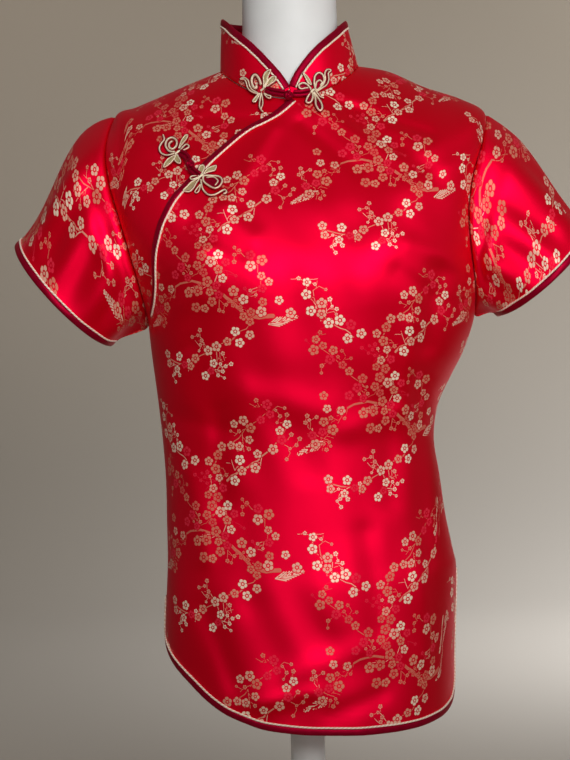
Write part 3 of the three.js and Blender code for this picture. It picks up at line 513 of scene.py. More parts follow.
# The brocade: satin of red silk, with sprays of plum blossom woven in pale and rose wefts. A
# sheet's face keeps the places of its nearest blossoms and twigs; the shader draws their outlines.
REPEAT_U, REPEAT_V, DROP = 168.0, 245.0, 122.5
SPRAY_COLUMNS = ("width", "blossoms", "stray", "sprigs", "tone", "way")
SPRAYS = [
    # width of the bough; its blossoms and how far they stray; sprigs; mean tone; way, u and v; millimetres
    (4.4, 27, 10.0, 6, 0.85, [(46, 70), (66, 74), (88, 66), (106, 52), (120, 36), (144, 38)]),
    (1.2, 4, 2.5, 2, 0.1, [(88, 68), (94, 84), (90, 98)]),
    (1.2, 6, 3.5, 3, 0.8, [(118, 56), (134, 66), (130, 86), (118, 96)]),
    (1.5, 12, 3.0, 6, 0.55, [(122, 30), (104, 16), (86, 8), (66, -4), (44, -8), (24, -3)]),
    (1.0, 4, 1.5, 2, 0.2, [(80, 4), (84, -8), (74, -22)]),
    (1.3, 10, 3.6, 5, 0.35, [(8, 186), (16, 170), (26, 156), (40, 148), (52, 138)]),
    (1.6, 15, 4.4, 6, 0.75, [(138, 190), (122, 180), (106, 164), (90, 152), (80, 136), (86, 118)]),
    (2.6, 9, 3.4, 4, 0.5, [(152, 172), (140, 156), (126, 142), (110, 134), (94, 122)]),
    (1.4, 8, 3.6, 3, 1.2, [(88, 120), (78, 108), (84, 94), (74, 82)]),
    (1.3, 8, 3.0, 4, 1.1, [(14, 132), (30, 122), (42, 110), (52, 98), (64, 86)]),
    (1.2, 5, 3.2, 3, 0.9, [(12, 40), (24, 50), (30, 62)]),
]
PLUMES = [{"u": 140, "v": 30, "heading": 14}, {"u": 22, "v": 38, "heading": 205}]
PLUME_STEP = 3.6
TWIG_STEP = 3.5
TONE_CREAM, TONE_RED = 0.0, 2.0


def grow_sprays(seed=41):
    """Blossoms (u, v, radius, turn, tone) and twigs (u0, v0, u1, v1, width, tone), millimetres."""
    chance = random.Random(seed)
    blossoms, twigs = [], []

    def clear(u, v, radius):
        for other in blossoms:
            for i in (-1, 0, 1):
                du = u - other[0] + i * REPEAT_U
                dv = (v - other[1] + i * DROP + DROP) % REPEAT_V - DROP
                if math.hypot(du, dv) < (radius + other[2]) * 0.93:
                    return False
        return True

    def near_tone(mean):
        if chance.random() < 0.14:
            return TONE_RED
        return min(TONE_RED, max(TONE_CREAM, chance.gauss(mean, 0.22)))

    def bud(u, v, tone):
        radius = chance.uniform(1.5, 2.5)
        if clear(u, v, radius):
            blossoms.append((u, v, radius, chance.uniform(0, 6.28), tone))

    def sprig(u, v, heading, length, depth, tone):
        turn = chance.uniform(-9, 9)
        for _ in range(max(2, int(length / TWIG_STEP))):
            heading += turn + chance.uniform(-9, 9)
            u1 = u + TWIG_STEP * math.cos(math.radians(heading))
            v1 = v + TWIG_STEP * math.sin(math.radians(heading))
            twigs.append((u, v, u1, v1, 0.62 if depth else 0.78, tone))
            if depth < 2 and chance.random() < 0.5:
                fork = heading + chance.choice((-1, 1)) * chance.uniform(38, 66)
                sprig(u1, v1, fork, length * 0.42, depth + 1, tone)
            u, v = u1, v1
        if chance.random() < 0.6:
            bud(u, v, tone)

    for spray in (dict(zip(SPRAY_COLUMNS, row)) for row in SPRAYS):
        knots = spray["way"]
        bough = []
        for (u0, v0), (u1, v1) in zip(knots, knots[1:]):
            pieces = max(1, round(math.hypot(u1 - u0, v1 - v0) / 6))
            for k in range(pieces):
                bough.append((u0 + (u1 - u0) * k / pieces + chance.uniform(-1, 1),
                              v0 + (v1 - v0) * k / pieces + chance.uniform(-1, 1)))
        bough.append(knots[-1])
        for k, ((u0, v0), (u1, v1)) in enumerate(zip(bough, bough[1:])):
            width = max(0.8, spray["width"] * (0.45 + 0.55 * k / len(bough)))
            twigs.append((u0, v0, u1, v1, width, min(1.2, spray["tone"] + 0.25)))
        placed = 0
        for _ in range(900):
            u0, v0 = chance.choice(bough)
            u2 = u0 + chance.gauss(0, spray["stray"])
            v2 = v0 + chance.gauss(0, spray["stray"])
            radius = chance.uniform(4.1, 5.6)
            if clear(u2, v2, radius):
                blossoms.append((u2, v2, radius, chance.uniform(0, 6.28), near_tone(spray["tone"])))
                placed += 1
            if placed == spray["blossoms"]:
                break
        for k in range(spray["sprigs"]):
            u0, v0 = bough[0] if k == 0 else chance.choice(bough)
            sprig(u0, v0, chance.uniform(0, 360), chance.uniform(9, 19), 0, near_tone(spray["tone"]))
    for plume in PLUMES:
        way = math.radians(plume["heading"])
        for k in range(8):
            root_u = plume["u"] + PLUME_STEP * k * math.cos(way)
            root_v = plume["v"] + PLUME_STEP * k * math.sin(way)
            for turn, long, width, tone in ((0, PLUME_STEP, 0.8, 0.4), (-0.42, 10.5 - 1.1 * k, 1.3, 0.3),
                                            (0.42, 10.5 - 1.1 * k, 1.3, 0.3)):
                twigs.append((root_u, root_v, root_u + long * math.cos(way + turn),
                              root_v + long * math.sin(way + turn), width, tone))
    return np.array(blossoms), np.array(twigs)


BLOSSOMS, TWIGS = grow_sprays()


def tiled(rows, pairs):
    """The rows of one repeat with copies all round, half a repeat lower in each next column."""
    copies = []
    for i in (-1, 0, 1):
        for j in (-1, 0, 1):
            copy = rows.copy()
            for a, b in pairs:
                copy[:, a] += i * REPEAT_U
                copy[:, b] += i * DROP + j * REPEAT_V
            copies.append(copy)
    return np.concatenate(copies)


def set_face_vector(mesh, name, values):
    """Keeps a vector on each face of a mesh."""
    layer = mesh.attributes.new(name=name, type='FLOAT_VECTOR', domain='FACE')
    layer.data.foreach_set("vector", values.astype(np.float32).ravel())


def twig_distance(place, twigs):
    """Distance from places to the edges of twigs, millimetres."""
    way = twigs[..., 2:4] - twigs[..., :2]
    f = np.clip(((place - twigs[..., :2]) * way).sum(-1) / (way * way).sum(-1), 0, 1)
    return np.linalg.norm(place - twigs[..., :2] - f[..., None] * way, axis=-1) - twigs[..., 4] / 2


def blossom_distance(place, blossoms):
    """Distance from places to the rims of blossoms, millimetres."""
    return np.linalg.norm(place - blossoms[..., :2], axis=-1) - blossoms[..., 2]


# A repeat is parted into bins of this many millimetres; each keeps its nearest few rows.
BIN = 7.0
BIN_COLUMNS, BIN_ROWS = int(REPEAT_U / BIN), int(REPEAT_V / BIN)
NEAR_COUNT = 14


def nearest_two(local, rows, distance):
    """For places within one repeat, the two nearest rows of a table, found through small bins."""
    bins = np.stack(np.meshgrid(np.arange(BIN_COLUMNS), np.arange(BIN_ROWS), indexing='ij'), axis=-1)
    centres = (bins.reshape(-1, 2) + 0.5) * BIN
    near = np.argpartition(distance(centres[:, None], rows[None]), NEAR_COUNT, axis=1)[:, :NEAR_COUNT]
    own = np.floor(local / BIN).astype(int)
    own = np.clip(own[:, 0], 0, BIN_COLUMNS - 1) * BIN_ROWS + np.clip(own[:, 1], 0, BIN_ROWS - 1)
    chosen = rows[near[own]]
    best = np.argsort(distance(local[:, None], chosen), axis=1)[:, :2]
    return [chosen[np.arange(len(local)), best[:, k]] for k in (0, 1)]


BLOSSOM_COPIES = tiled(BLOSSOMS, [(0, 1)])
TWIG_COPIES = tiled(TWIGS, [(0, 1), (2, 3)])


def weave_pattern(piece, shift=(0.0, 0.0)):
    """Stores on every face its two nearest blossoms and two nearest twigs, in metres of cloth."""
    mesh = piece.data
    count = len(mesh.polygons)
    corners = np.empty(len(mesh.loops) * 2, dtype=np.float32)
    mesh.uv_layers["cloth"].uv.foreach_get("vector", corners)
    centre = corners.reshape(count, 4, 2).mean(axis=1).astype(float) / MM + np.array(shift)
    column = np.floor(centre[:, 0] / REPEAT_U)
    row = np.floor((centre[:, 1] - column * DROP) / REPEAT_V)
    cell = np.column_stack([column * REPEAT_U, column * DROP + row * REPEAT_V])
    back = cell - np.array(shift)
    for letter, chosen in zip("ab", nearest_two(centre - cell, BLOSSOM_COPIES, blossom_distance)):
        place = (chosen[:, :2] + back) * MM
        set_face_vector(mesh, f"blossom_{letter}", np.column_stack([place, chosen[:, 2] * MM]))
        set_face_vector(mesh, f"blossom_look_{letter}", chosen[:, [3, 4, 4]])
    for letter, chosen in zip("ab", nearest_two(centre - cell, TWIG_COPIES, twig_distance)):
        start = (chosen[:, :2] + back) * MM
        end = (chosen[:, 2:4] + back) * MM
        set_face_vector(mesh, f"twig_start_{letter}", np.column_stack([start, chosen[:, 4] * MM / 2]))
        set_face_vector(mesh, f"twig_end_{letter}", np.column_stack([end, chosen[:, 5]]))


# A blossom in shares of its radius: notch and tip of its petals, and the ring of stamens.
PETAL_NOTCH, PETAL_TIP = 0.66, 1.0
STAMEN_RING, RING_HALF_WIDTH = 0.3, 0.07
LINE_SHARPNESS = 14.0


def face_vector(tree, name):
    """A vector kept on the faces, parted into its numbers."""
    return node(tree, "SeparateXYZ", node(tree, "Attribute", attribute_name=name).outputs["Vector"]).outputs


def blossom_mask(tree, place, letter):
    """1 on the blossom's petals, 0 off them and on its drawn lines; its tone; 0 up to a rim round it."""
    at, look = face_vector(tree, f"blossom_{letter}"), face_vector(tree, f"blossom_look_{letter}")
    away = node(tree, "VectorMath SUBTRACT", place, node(tree, "CombineXYZ", at["X"], at["Y"]))
    parts = node(tree, "SeparateXYZ", away).outputs
    r = node(tree, "Math DIVIDE", node(tree, "VectorMath LENGTH", away).outputs["Value"], at["Z"])
    turned = node(tree, "Math ADD", node(tree, "Math ARCTAN2", parts["Y"], parts["X"]), look["X"])
    petal = node(tree, "Math ABSOLUTE", node(tree, "Math COSINE", node(tree, "Math MULTIPLY", turned, 2.5)))
    rim = node(tree, "Math MULTIPLY_ADD", node(tree, "Math POWER", petal, 0.6), PETAL_TIP - PETAL_NOTCH,
               PETAL_NOTCH)
    inside = node(tree, "Math MULTIPLY", node(tree, "Math SUBTRACT", rim, r), LINE_SHARPNESS, use_clamp=True)
    clear = node(tree, "Math SUBTRACT", r, node(tree, "Math ADD", rim, 0.1))
    apart = node(tree, "Math MULTIPLY", clear, 9.0, use_clamp=True)
    ring = node(tree, "Math ABSOLUTE", node(tree, "Math SUBTRACT", r, STAMEN_RING))
    ring = node(tree, "Math SUBTRACT", ring, RING_HALF_WIDTH)
    ring = node(tree, "Math MULTIPLY", ring, LINE_SHARPNESS, use_clamp=True)
    vein = node(tree, "Math MULTIPLY", node(tree, "Math ADD", petal, -0.13), 7.0, use_clamp=True)
    vein = node(tree, "Math MAXIMUM", vein, node(tree, "Math LESS_THAN", r, 0.36))
    woven = node(tree, "Math MULTIPLY", node(tree, "Math MULTIPLY", inside, ring), vein)
    return woven, look["Y"], apart


def twig_mask(tree, place, letter):
    """1 on the twig; and its tone."""
    first, last = face_vector(tree, f"twig_start_{letter}"), face_vector(tree, f"twig_end_{letter}")
    start, end = (node(tree, "CombineXYZ", spot["X"], spot["Y"]) for spot in (first, last))
    way = node(tree, "VectorMath SUBTRACT", end, start)
    away = node(tree, "VectorMath SUBTRACT", place, start)
    along = node(tree, "Math DIVIDE", *(node(tree, "VectorMath DOT_PRODUCT", other, way).outputs["Value"]
                                        for other in (away, way)), use_clamp=True)
    foot = node(tree, "VectorMath SCALE", way, Scale=along)
    off = node(tree, "VectorMath LENGTH", node(tree, "VectorMath SUBTRACT", away, foot)).outputs["Value"]
    mask = node(tree, "Math MULTIPLY", node(tree, "Math SUBTRACT", first["Z"], off), 5000.0, use_clamp=True)
    return node(tree, "Math MULTIPLY", mask, 0.9), last["Z"]


def tone_colour(tree, tone):
    """The weft's colour for a tone from 0, cream, to 2, red."""
    ramp = node(tree, "ValToRGB", node(tree, "Math DIVIDE", tone, TONE_RED))
    stops = ramp.color_ramp.elements
    stops[0].position, stops[0].color = 0.1, linear("#F8DFC6")
    stops[1].position, stops[1].color = 0.45, linear("#E0826A")
    for position, hex_colour in ((0.65, "#DC6A5A"), (0.95, "#EE2A44")):
        stops.new(position).color = linear(hex_colour)
    return ramp


def brocade_material():
    """Silk satin brocade: smooth warp-faced red ground with a deep red highlight, pale weft blossoms."""
    made, tree, shader = material("silk_satin_brocade", Roughness=0.5, Specular_Tint=linear("#FF3A5C"),
                                  Sheen_Weight=0.1, Sheen_Roughness=0.4, Sheen_Tint=linear("#FF2A50"))
    place = node(tree, "UVMap", uv_map="cloth").outputs[0]
    ground = node(tree, "TexNoise", noise_dimensions='2D', Vector=place, Scale=9.0, Detail=2.0)
    colour = node(tree, "MixRGB", ground.outputs["Fac"], linear("#CA0004"), linear("#D60008"))
    flowers = [blossom_mask(tree, place, letter) for letter in "ba"]
    gap = node(tree, "Math MULTIPLY", flowers[0][2], flowers[1][2])
    stems = [twig_mask(tree, place, letter) for letter in "ba"]
    stems = [(node(tree, "Math MULTIPLY", mask, gap), tone) for mask, tone in stems]
    worked = 0.0
    for mask, tone in stems + [flower[:2] for flower in flowers]:
        colour = node(tree, "MixRGB", mask, colour, tone_colour(tree, tone))
        worked = node(tree, "Math MAXIMUM", worked, mask)
    # Warp threads are drawn about ten times as coarse as real ones, so that they show.
    threads = node(tree, "TexWave", wave_type='BANDS', bands_direction='X', Vector=place, Scale=420.0,
                   Distortion=1.5, Detail=1.0)
    height = node(tree, "Math MULTIPLY", threads.outputs["Fac"], 0.12)
    height = node(tree, "Math MULTIPLY_ADD", worked, 1.0, height)
    bump = node(tree, "Bump", Strength=0.35, Distance=0.00015, Height=height)
    paint_on(tree, shader, colour, bump)
    bright = node(tree, "MixRGB", worked, linear("#FF0040"), colour)
    tangent = node(tree, "Tangent", direction_type='UV_MAP', uv_map="cloth")
    gloss = node(tree, "BsdfPrincipled", Tangent=tangent, Metallic=1.0, Roughness=0.46, Anisotropic=0.4)
    paint_on(tree, gloss, bright, bump)
    share = node(tree, "Math MULTIPLY_ADD", worked, -0.3, 0.5)
    both = node(tree, "MixShader", share, shader, gloss)
    tree.links.new(both.outputs[0], tree.nodes["Material Output"].inputs["Surface"])
    return made


def settle(piece, slot_name, finish=None, *nodes):
    """Gives a piece its material and fixes it to the stand, in place of its nodes of the frame."""
    if finish:
        piece.data.materials.append(finish)
    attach(piece, "root")
    if nodes:
        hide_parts(*nodes)


def brocade_sheet(piece, node_name, shift, thickness=CLOTH_THICKNESS):
    """Weaves the pattern into a sheet, thickens it, gives it the brocade and sets it in place of its node of
    the frame.
    """
    weave_pattern(piece, shift)
    thicken(piece, thickness)
    settle(piece, "brocade", brocade, node_name)


brocade = brocade_material()
front_panel, front_points = body_sheet("front_panel_cloth", "front", LAST_LEVEL, BODY_COLUMNS, front_edge,
                                       left_seam)
brocade_sheet(front_panel, "front_panel", (0.0, 0.0))


# ---------------------------------------------------------------------------
# Shoulder piece: the wearer's right shoulder and chest, of the same brocade.
# The front laps about 20 mm over its slanting edge and is fastened to it by frogs.
# ---------------------------------------------------------------------------
LAP_DEGREES, LAP_DROP = 8.1, 2.4
SHOULDER_COLUMNS = 60


def under_edge(level):
    """The shoulder piece's own slanting edge, as an angle."""
    return opening_angle(level) + LAP_DEGREES


def lap_drop(angle, level):
    """How far the shoulder piece lies below the front's face."""
    reach = opening_angle(level) - right_seam(level) - 1
    return LAP_DROP * smooth((angle - right_seam(level)) / reach)


shoulder_panel, shoulder_points = body_sheet("shoulder_panel_cloth", "front", UNDERARM, SHOULDER_COLUMNS,
                                             right_seam, under_edge, lap_drop)
brocade_sheet(shoulder_panel, "shoulder_panel", (37.0, 64.0))


# ---------------------------------------------------------------------------
# Back: one panel of the brocade from shoulder to curved hem, shaped by two
# waist darts. Not seen from the front; it follows the front's cut and fall.
# ---------------------------------------------------------------------------
back_panel, back_points = body_sheet("back_panel_cloth", "back", LAST_LEVEL, BODY_COLUMNS, right_seam,
                                     left_seam)
brocade_sheet(back_panel, "back_panel", (90.0, 20.0))


# ---------------------------------------------------------------------------
# Sleeves: two short set-in sleeves of the brocade, each cut in one piece and
# sewn along the underarm. They stand away from the form and are open below.
# ---------------------------------------------------------------------------
SLEEVES = {
    "sleeve_right": {"side": -1, "tip": (-283, 737), "foot": (-190, 630), "fall": 0.42,
                     "shift": (64.0, 190.0), "flat": (0.300, 0.171), "area": 0.0491},
    "sleeve_left": {"side": 1, "tip": (297, 738), "foot": (204, 651), "fall": 0.85,
                    "shift": (10.0, 84.0), "flat": (0.300, 0.158), "area": 0.0452},
}
SLEEVE_DEPTH, SLEEVE_DIP = 62, 11
SLEEVE_HALF_WIDTH = 148
SLEEVE_COLUMNS, SLEEVE_ROWS = 150, 40
SLEEVE_CREASES = [
    # round the armhole (-1 to 1, back below 0); along the sleeve; reach in each; height, millimetres
    (0.14, 0.52, 0.05, 0.40, -2.0), (0.25, 0.40, 0.06, 0.42, 2.8), (0.36, 0.52, 0.05, 0.36, -2.8),
    (0.46, 0.72, 0.05, 0.30, 2.4), (0.55, 0.46, 0.055, 0.42, -3.0), (0.66, 0.60, 0.06, 0.40, 2.8),
    (0.76, 0.42, 0.05, 0.36, -2.6), (0.86, 0.62, 0.06, 0.34, 2.6), (0.95, 0.40, 0.05, 0.40, -2.2),
    (0.40, 0.14, 0.34, 0.09, -2.6), (0.58, 0.28, 0.10, 0.10, 2.0), (0.30, 0.84, 0.10, 0.10, 1.6),
    (-0.28, 0.40, 0.08, 0.45, 2.6), (-0.50, 0.66, 0.07, 0.36, -2.6), (-0.76, 0.48, 0.08, 0.50, 2.8),
    (-0.40, 0.30, 0.06, 0.30, -2.2), (-0.64, 0.36, 0.06, 0.30, -2.4), (-0.90, 0.50, 0.06, 0.40, -2.4),
]


def armhole_point(side, around):
    """Places on the armhole: 0 at the shoulder tip, 1 under the arm, below 0 at the back."""
    level = SHOULDER_TIP + (UNDERARM - SHOULDER_TIP) * np.abs(around)
    arm = level_value("arm", level)
    angle = arm if side < 0 else 180 - arm
    front, back = (body_point(half, angle, level) for half in ("front", "back"))
    return np.where((around >= 0)[..., None], front, back)


def sleeve_form(name, around, along):
    """A sleeve's outer face, millimetres."""
    row = SLEEVES[name]
    side = row["side"]
    tip, foot = np.array(row["tip"], float), np.array(row["foot"], float)
    start = armhole_point(side, around)
    ends = armhole_point(side, np.array([0.0, 1.0]))
    middle = ends.mean(axis=0)
    slope = np.array([tip[0] - foot[0], 0, tip[1] - foot[1]]) / 2
    way = np.array([side * slope[2], 0, -abs(slope[0])])
    way /= np.linalg.norm(way)
    turn = np.pi * np.where(around >= 0, around, 2 + around)
    end = np.zeros(around.shape + (3,))
    end[..., 0] = (tip[0] + foot[0]) / 2
    end[..., 1] = 4 - SLEEVE_DEPTH * np.sin(turn)
    end[..., 2] = (tip[1] + foot[1]) / 2
    end += slope * np.cos(turn)[..., None] + way * (SLEEVE_DIP * np.abs(np.sin(turn)))[..., None]
    reach = np.linalg.norm(end - start, axis=-1, keepdims=True) * 0.36
    radial = start - middle
    radial[..., 0] = 0
    radial /= np.linalg.norm(radial, axis=-1, keepdims=True)
    leave = np.array([side, 0, -row["fall"]]) + radial * 0.42
    leave /= np.linalg.norm(leave, axis=-1, keepdims=True)
    arrive = way + radial * 0.06
    arrive /= np.linalg.norm(arrive, axis=-1, keepdims=True)
    t = along[..., None]
    return (start * (1 - t) ** 3 + (start + leave * reach) * 3 * t * (1 - t) ** 2
            + (end - arrive * reach) * 3 * t ** 2 * (1 - t) + end * t ** 3)


def sleeve_outward(points):
    """Directions away from the middle of each of a sleeve's sections."""
    return points - points[:, 1:].mean(axis=1, keepdims=True)


sleeve_grids = {}
for name, row in SLEEVES.items():
    around, along = np.meshgrid(np.linspace(-1, 1, SLEEVE_COLUMNS), np.linspace(0, 1, SLEEVE_ROWS))
    points = sleeve_form(name, around, along)
    normals = grid_normals(points, sleeve_outward(points))
    lift = np.zeros(around.shape)
    for at_round, at_along, wide, long, high in SLEEVE_CREASES:
        lift += high * np.exp(-((around - at_round) / wide) ** 2 - ((along - at_along) / long) ** 2)
    lift *= smooth(along / 0.25) * smooth((1 - along) / 0.12 + 0.35)
    # The armhole seam is a groove with a soft ridge beside it, and the underarm seam is a groove.
    past_seam = along * np.linalg.norm(points[-1] - points[0], axis=-1)
    lift += 0.8 * np.exp(-((past_seam - 5) / 3.5) ** 2) - SEAM_DEPTH * np.exp(-(past_seam / 2.0) ** 2)
    lift -= 0.7 * np.exp(-((1 - np.abs(around)) * SLEEVE_COLUMNS / SEAM_REACH) ** 2)
    points = points + normals * lift[..., None]
    down = row_lengths(points.transpose(1, 0, 2)).T
    uv = np.stack([around * SLEEVE_HALF_WIDTH, -down], axis=-1)
    piece = grid_mesh(name + "_cloth", points, uv * MM)
    outward_faces(piece, sleeve_outward(points))
    brocade_sheet(piece, name, row["shift"])
    sleeve_grids[name] = points


# ---------------------------------------------------------------------------
# Collar: a stiffened stand-up band of the brocade, 50 to 54 mm high, with
# rounded front ends that meet above the collar's pair of frogs.
# ---------------------------------------------------------------------------
COLLAR = np.array([(0, 52), (25, 54), (45, 53), (58, 50), (68, 44), (76, 36), (83, 27), (88, 17),
                    (90, 11)], float)
COLLAR_HEIGHT, COLLAR_BACK_HEIGHT = 52, 50
COLLAR_LEFT_SCALE = 0.87
COLLAR_THICKNESS = 1.3
COLLAR_ROWS, COLLAR_FRONT_COLUMNS, COLLAR_BACK_COLUMNS = 16, 50, 60
COLLAR_INWARD, COLLAR_SIDEWAYS = 8, -5


def collar_form(angle, up):
    """The collar's outer face, millimetres; angle runs from 90 round the left, back and right."""
    base = np.where((angle <= 180)[..., None], body_point("front", np.minimum(angle, 180), 0 * angle),
                    body_point("back", np.clip(360 - angle, 0, 180), 0 * angle))
    near = np.minimum(angle, 180 - angle)
    front_height = np.interp(near, COLLAR[:, 0], COLLAR[:, 1])
    back_height = COLLAR_HEIGHT + (COLLAR_BACK_HEIGHT - COLLAR_HEIGHT) * np.sin(np.radians(angle - 180))
    scale = 1 + (COLLAR_LEFT_SCALE - 1) * (1 - np.cos(np.radians(angle))) / 2
    height = np.where(angle > 180, back_height, front_height) * up * scale
    lean = height / COLLAR_HEIGHT
    flat = base * np.array([1, 1, 0])
    flat /= np.linalg.norm(flat, axis=-1, keepdims=True)
    point = base - flat * (COLLAR_INWARD * lean)[..., None]
    point[..., 0] += COLLAR_SIDEWAYS * lean
    point[..., 2] += SEAM_GAP + height
    return point


half_turn = 90 + 90 * np.linspace(0, 1, COLLAR_FRONT_COLUMNS) ** 1.25
turns = np.concatenate([half_turn + 0.4 * (1 - (half_turn - 90) / 90),
                        np.linspace(182, 358, COLLAR_BACK_COLUMNS), 540 - half_turn[::-1]])
angle, up = np.meshgrid(np.where(turns > 360, turns - 360, turns), np.linspace(0, 1, COLLAR_ROWS))
collar_points = collar_form(angle, up)
collar_outward = collar_points * np.array([1, 1, 0])
waver = 0.5 * np.sin(np.radians(angle) * 9 + 1.0) * np.sin(up * 2.6)
collar_points += grid_normals(collar_points, collar_outward) * waver[..., None]
run = row_lengths(collar_points)
uv = np.stack([run - run[:, -1:] / 2, collar_points[..., 2] - collar_points[:1, :, 2]], axis=-1)
collar = grid_mesh("collar_cloth", collar_points, uv * MM)
outward_faces(collar, collar_outward)
brocade_sheet(collar, "collar", (30.0, 110.0),
              COLLAR_THICKNESS)


# ---------------------------------------------------------------------------
# Bindings: bias strips of plain crimson satin folded round every free edge
# and stitched down. They show 6 mm wide on the outer face.
# ---------------------------------------------------------------------------
BINDING_WIDTH = 6.0
EDGE_STEP = 3.0
OPENING_FOOT, INNER_COLUMN = 9.6, 12
# The folded strip's section: in shares of its width from the edge, and millimetres off the cloth.
BINDING_PROFILE = [(1.0, 0.15), (0.93, 0.85), (0.7, 1.15), (0.4, 1.2), (0.12, 1.0), (-0.1, 0.4), (-0.16, -0.4),
                   (-0.1, -1.2), (0.12, -1.75), (0.4, -1.95), (0.7, -1.9), (0.93, -1.6), (1.0, -1.0)]


def edge_frames(points, normals, inner):
    """For each point of an edge: the point, the outward normal, and the way into the panel."""
    along = np.gradient(points, axis=0)
    along /= np.linalg.norm(along, axis=-1, keepdims=True)
    normals = normals - along * (normals * along).sum(-1, keepdims=True)
    normals /= np.linalg.norm(normals, axis=-1, keepdims=True)
    inward = np.cross(normals, along)
    inward *= np.sign((inward * (inner - points)).sum(-1, keepdims=True))
    return points, normals, inward


def evenly(step, *rows):
    """Points and what goes with them, taken anew at an even spacing along the first of them."""
    run = row_lengths(rows[0][None])[0]
    at = np.linspace(0, run[-1], max(3, int(run[-1] / step)))
    return [np.stack([np.interp(at, run, row[:, k]) for k in range(3)], axis=-1) for row in rows]


def softened(points, closed, times=6):
    """Rounds the corners of a line of points by averaging neighbours."""
    for _ in range(times):
        before, after = np.roll(points, 1, axis=0), np.roll(points, -1, axis=0)
        mean = (before + after + 2 * points) / 4
        if not closed:
            mean[0], mean[-1] = points[0], points[-1]
        points = mean
    return points


def tube_mesh(name, sections, closed):
    """A skin through closed sections, with capped ends unless it runs round; it has a length-wise UV map."""
    count, sides = sections.shape[:2]
    index = np.arange(count * sides).reshape(count, sides)
    if closed:
        index = np.concatenate([index, index[:1]], axis=0)
    faces = quads_between(np.concatenate([index, index[:, :1]], axis=1)).reshape(-1, 4).tolist()
    middle = sections.mean(axis=1)
    run = row_lengths(middle[None])[0]
    long = np.append(run, run[-1] + 2.0)[:len(index)]
    turn = np.arange(sides + 1) / sides
    uv = np.stack(np.broadcast_arrays(long[:, None], turn[None, :] * 10), axis=-1)
    corners = quads_between(uv).reshape(-1, 2)
    if not closed:
        faces += [index[0].tolist(), index[-1][::-1].tolist()]
        corners = np.concatenate([corners, uv[0, :-1], uv[-1, :-1]])
    return mesh_piece(name, sections, faces, corners * MM)


def binding(name, frames, closed, wrinkle):
    """A strip folded over an edge, a little uneven in width."""
    points, normals, inward = frames
    run = np.arange(len(points))
    wide = BINDING_WIDTH * (1 + 0.035 * np.sin(run * 0.23 + wrinkle) + 0.02 * np.sin(run * 0.61))
    high = 1 + 0.10 * np.sin(run * 0.37 + 2 * wrinkle)
    sections = np.stack([points + inward * (across * wide)[:, None] + normals * (up * high)[:, None]
                         for across, up in BINDING_PROFILE], axis=1)
    return tube_mesh(name, sections, closed)


front_normals = grid_normals(front_points, body_outward(front_points))
back_normals = grid_normals(back_points, body_outward(back_points))


def hem_line(points, normals):
    """The free edge of a panel below the vents: down the right side, along the hem and up the left."""
    top = int(VENT_TOP * ROWS_PER_LEVEL)
    pick = [(i, 0) for i in range(top, len(points))] + [(-1, j) for j in range(1, points.shape[1])]
    pick += [(i, points.shape[1] - 1) for i in range(len(points) - 2, top - 1, -1)]
    rows, columns = np.array(pick).T
    edge, faces = evenly(EDGE_STEP, points[rows, columns], normals[rows, columns])
    edge = softened(edge, False)
    target = points[top, points.shape[1] // 2]
    return edge_frames(edge, faces, target)


def opening_line():
    """The front's slanting edge from the collar to the side seam."""
    last = int(OPENING_FOOT * ROWS_PER_LEVEL)
    edge, faces = evenly(EDGE_STEP, front_points[:last, 0], front_normals[:last, 0])
    inner = evenly(EDGE_STEP, front_points[:last, INNER_COLUMN], front_normals[:last, INNER_COLUMN])[0]
    inner = inner[np.linspace(0, len(inner) - 1, len(edge)).astype(int)]
    return edge_frames(softened(edge, False), faces, inner)


def sleeve_line(name):
    """The sleeve's hem, all round."""
    points = sleeve_grids[name]
    normals = grid_normals(points, sleeve_outward(points))
    edge, faces, inner = evenly(EDGE_STEP, points[-1], normals[-1], points[-8])
    edge = softened(edge[:-1], True)
    return edge_frames(edge, faces[:-1], inner[:-1])


def collar_line():
    """The collar's upper edge, from one front end round the back to the other."""
    normals = grid_normals(collar_points, collar_outward)
    edge, faces, inner = evenly(2.0, collar_points[-1], normals[-1], collar_points[0])
    return edge_frames(softened(edge, False, 3), softened(faces, False), inner)


def satin_material():
    """Plain bias-cut satin: crimson, with a soft broad gloss and a faint diagonal thread."""
    made, tree, shader = material("crimson_bias_satin", Roughness=0.4, Metallic=0.45,
                                  Specular_Tint=linear("#FF3058"), Sheen_Weight=0.08,
                                  Sheen_Tint=linear("#FF1840"))
    place = node(tree, "UVMap", uv_map="cloth")
    slub = node(tree, "TexNoise", Vector=place, Scale=160.0, Detail=3.0)
    colour = node(tree, "MixRGB", slub.outputs["Fac"], linear("#80001C"), linear("#A2062C"))
    threads = node(tree, "TexWave", bands_direction='DIAGONAL', Vector=place, Scale=500.0, Distortion=1.0)
    bump = node(tree, "Bump", Strength=0.3, Distance=0.0001, Height=threads.outputs["Fac"])
    paint_on(tree, shader, colour, bump)
    return made


EDGES = {
    "opening": (opening_line(), False),
    "front_hem": (hem_line(front_points, front_normals), False),
    "back_hem": (hem_line(back_points, back_normals), False),
    "sleeve_right": (sleeve_line("sleeve_right"), True),
    "sleeve_left": (sleeve_line("sleeve_left"), True),
    "collar": (collar_line(), False),
}
# The same crimson satin also paints the shadow under the frog strands and the shade inside their loops.
bias_satin_and_frog_shade = satin_material()
for k, (name, (frames, closed)) in enumerate(EDGES.items()):
    strip = binding(name + "_binding_strip", frames, closed, 1.7 * k)
    settle(strip, "binding_satin", bias_satin_and_frog_shade, name + "_binding")


# ---------------------------------------------------------------------------
# Pipings: a pale gold twisted cord, 1.9 mm thick, set in the seam between
# each binding and its panel.
# ---------------------------------------------------------------------------
CORD_RADIUS = 0.95
CORD_SIDES = 12


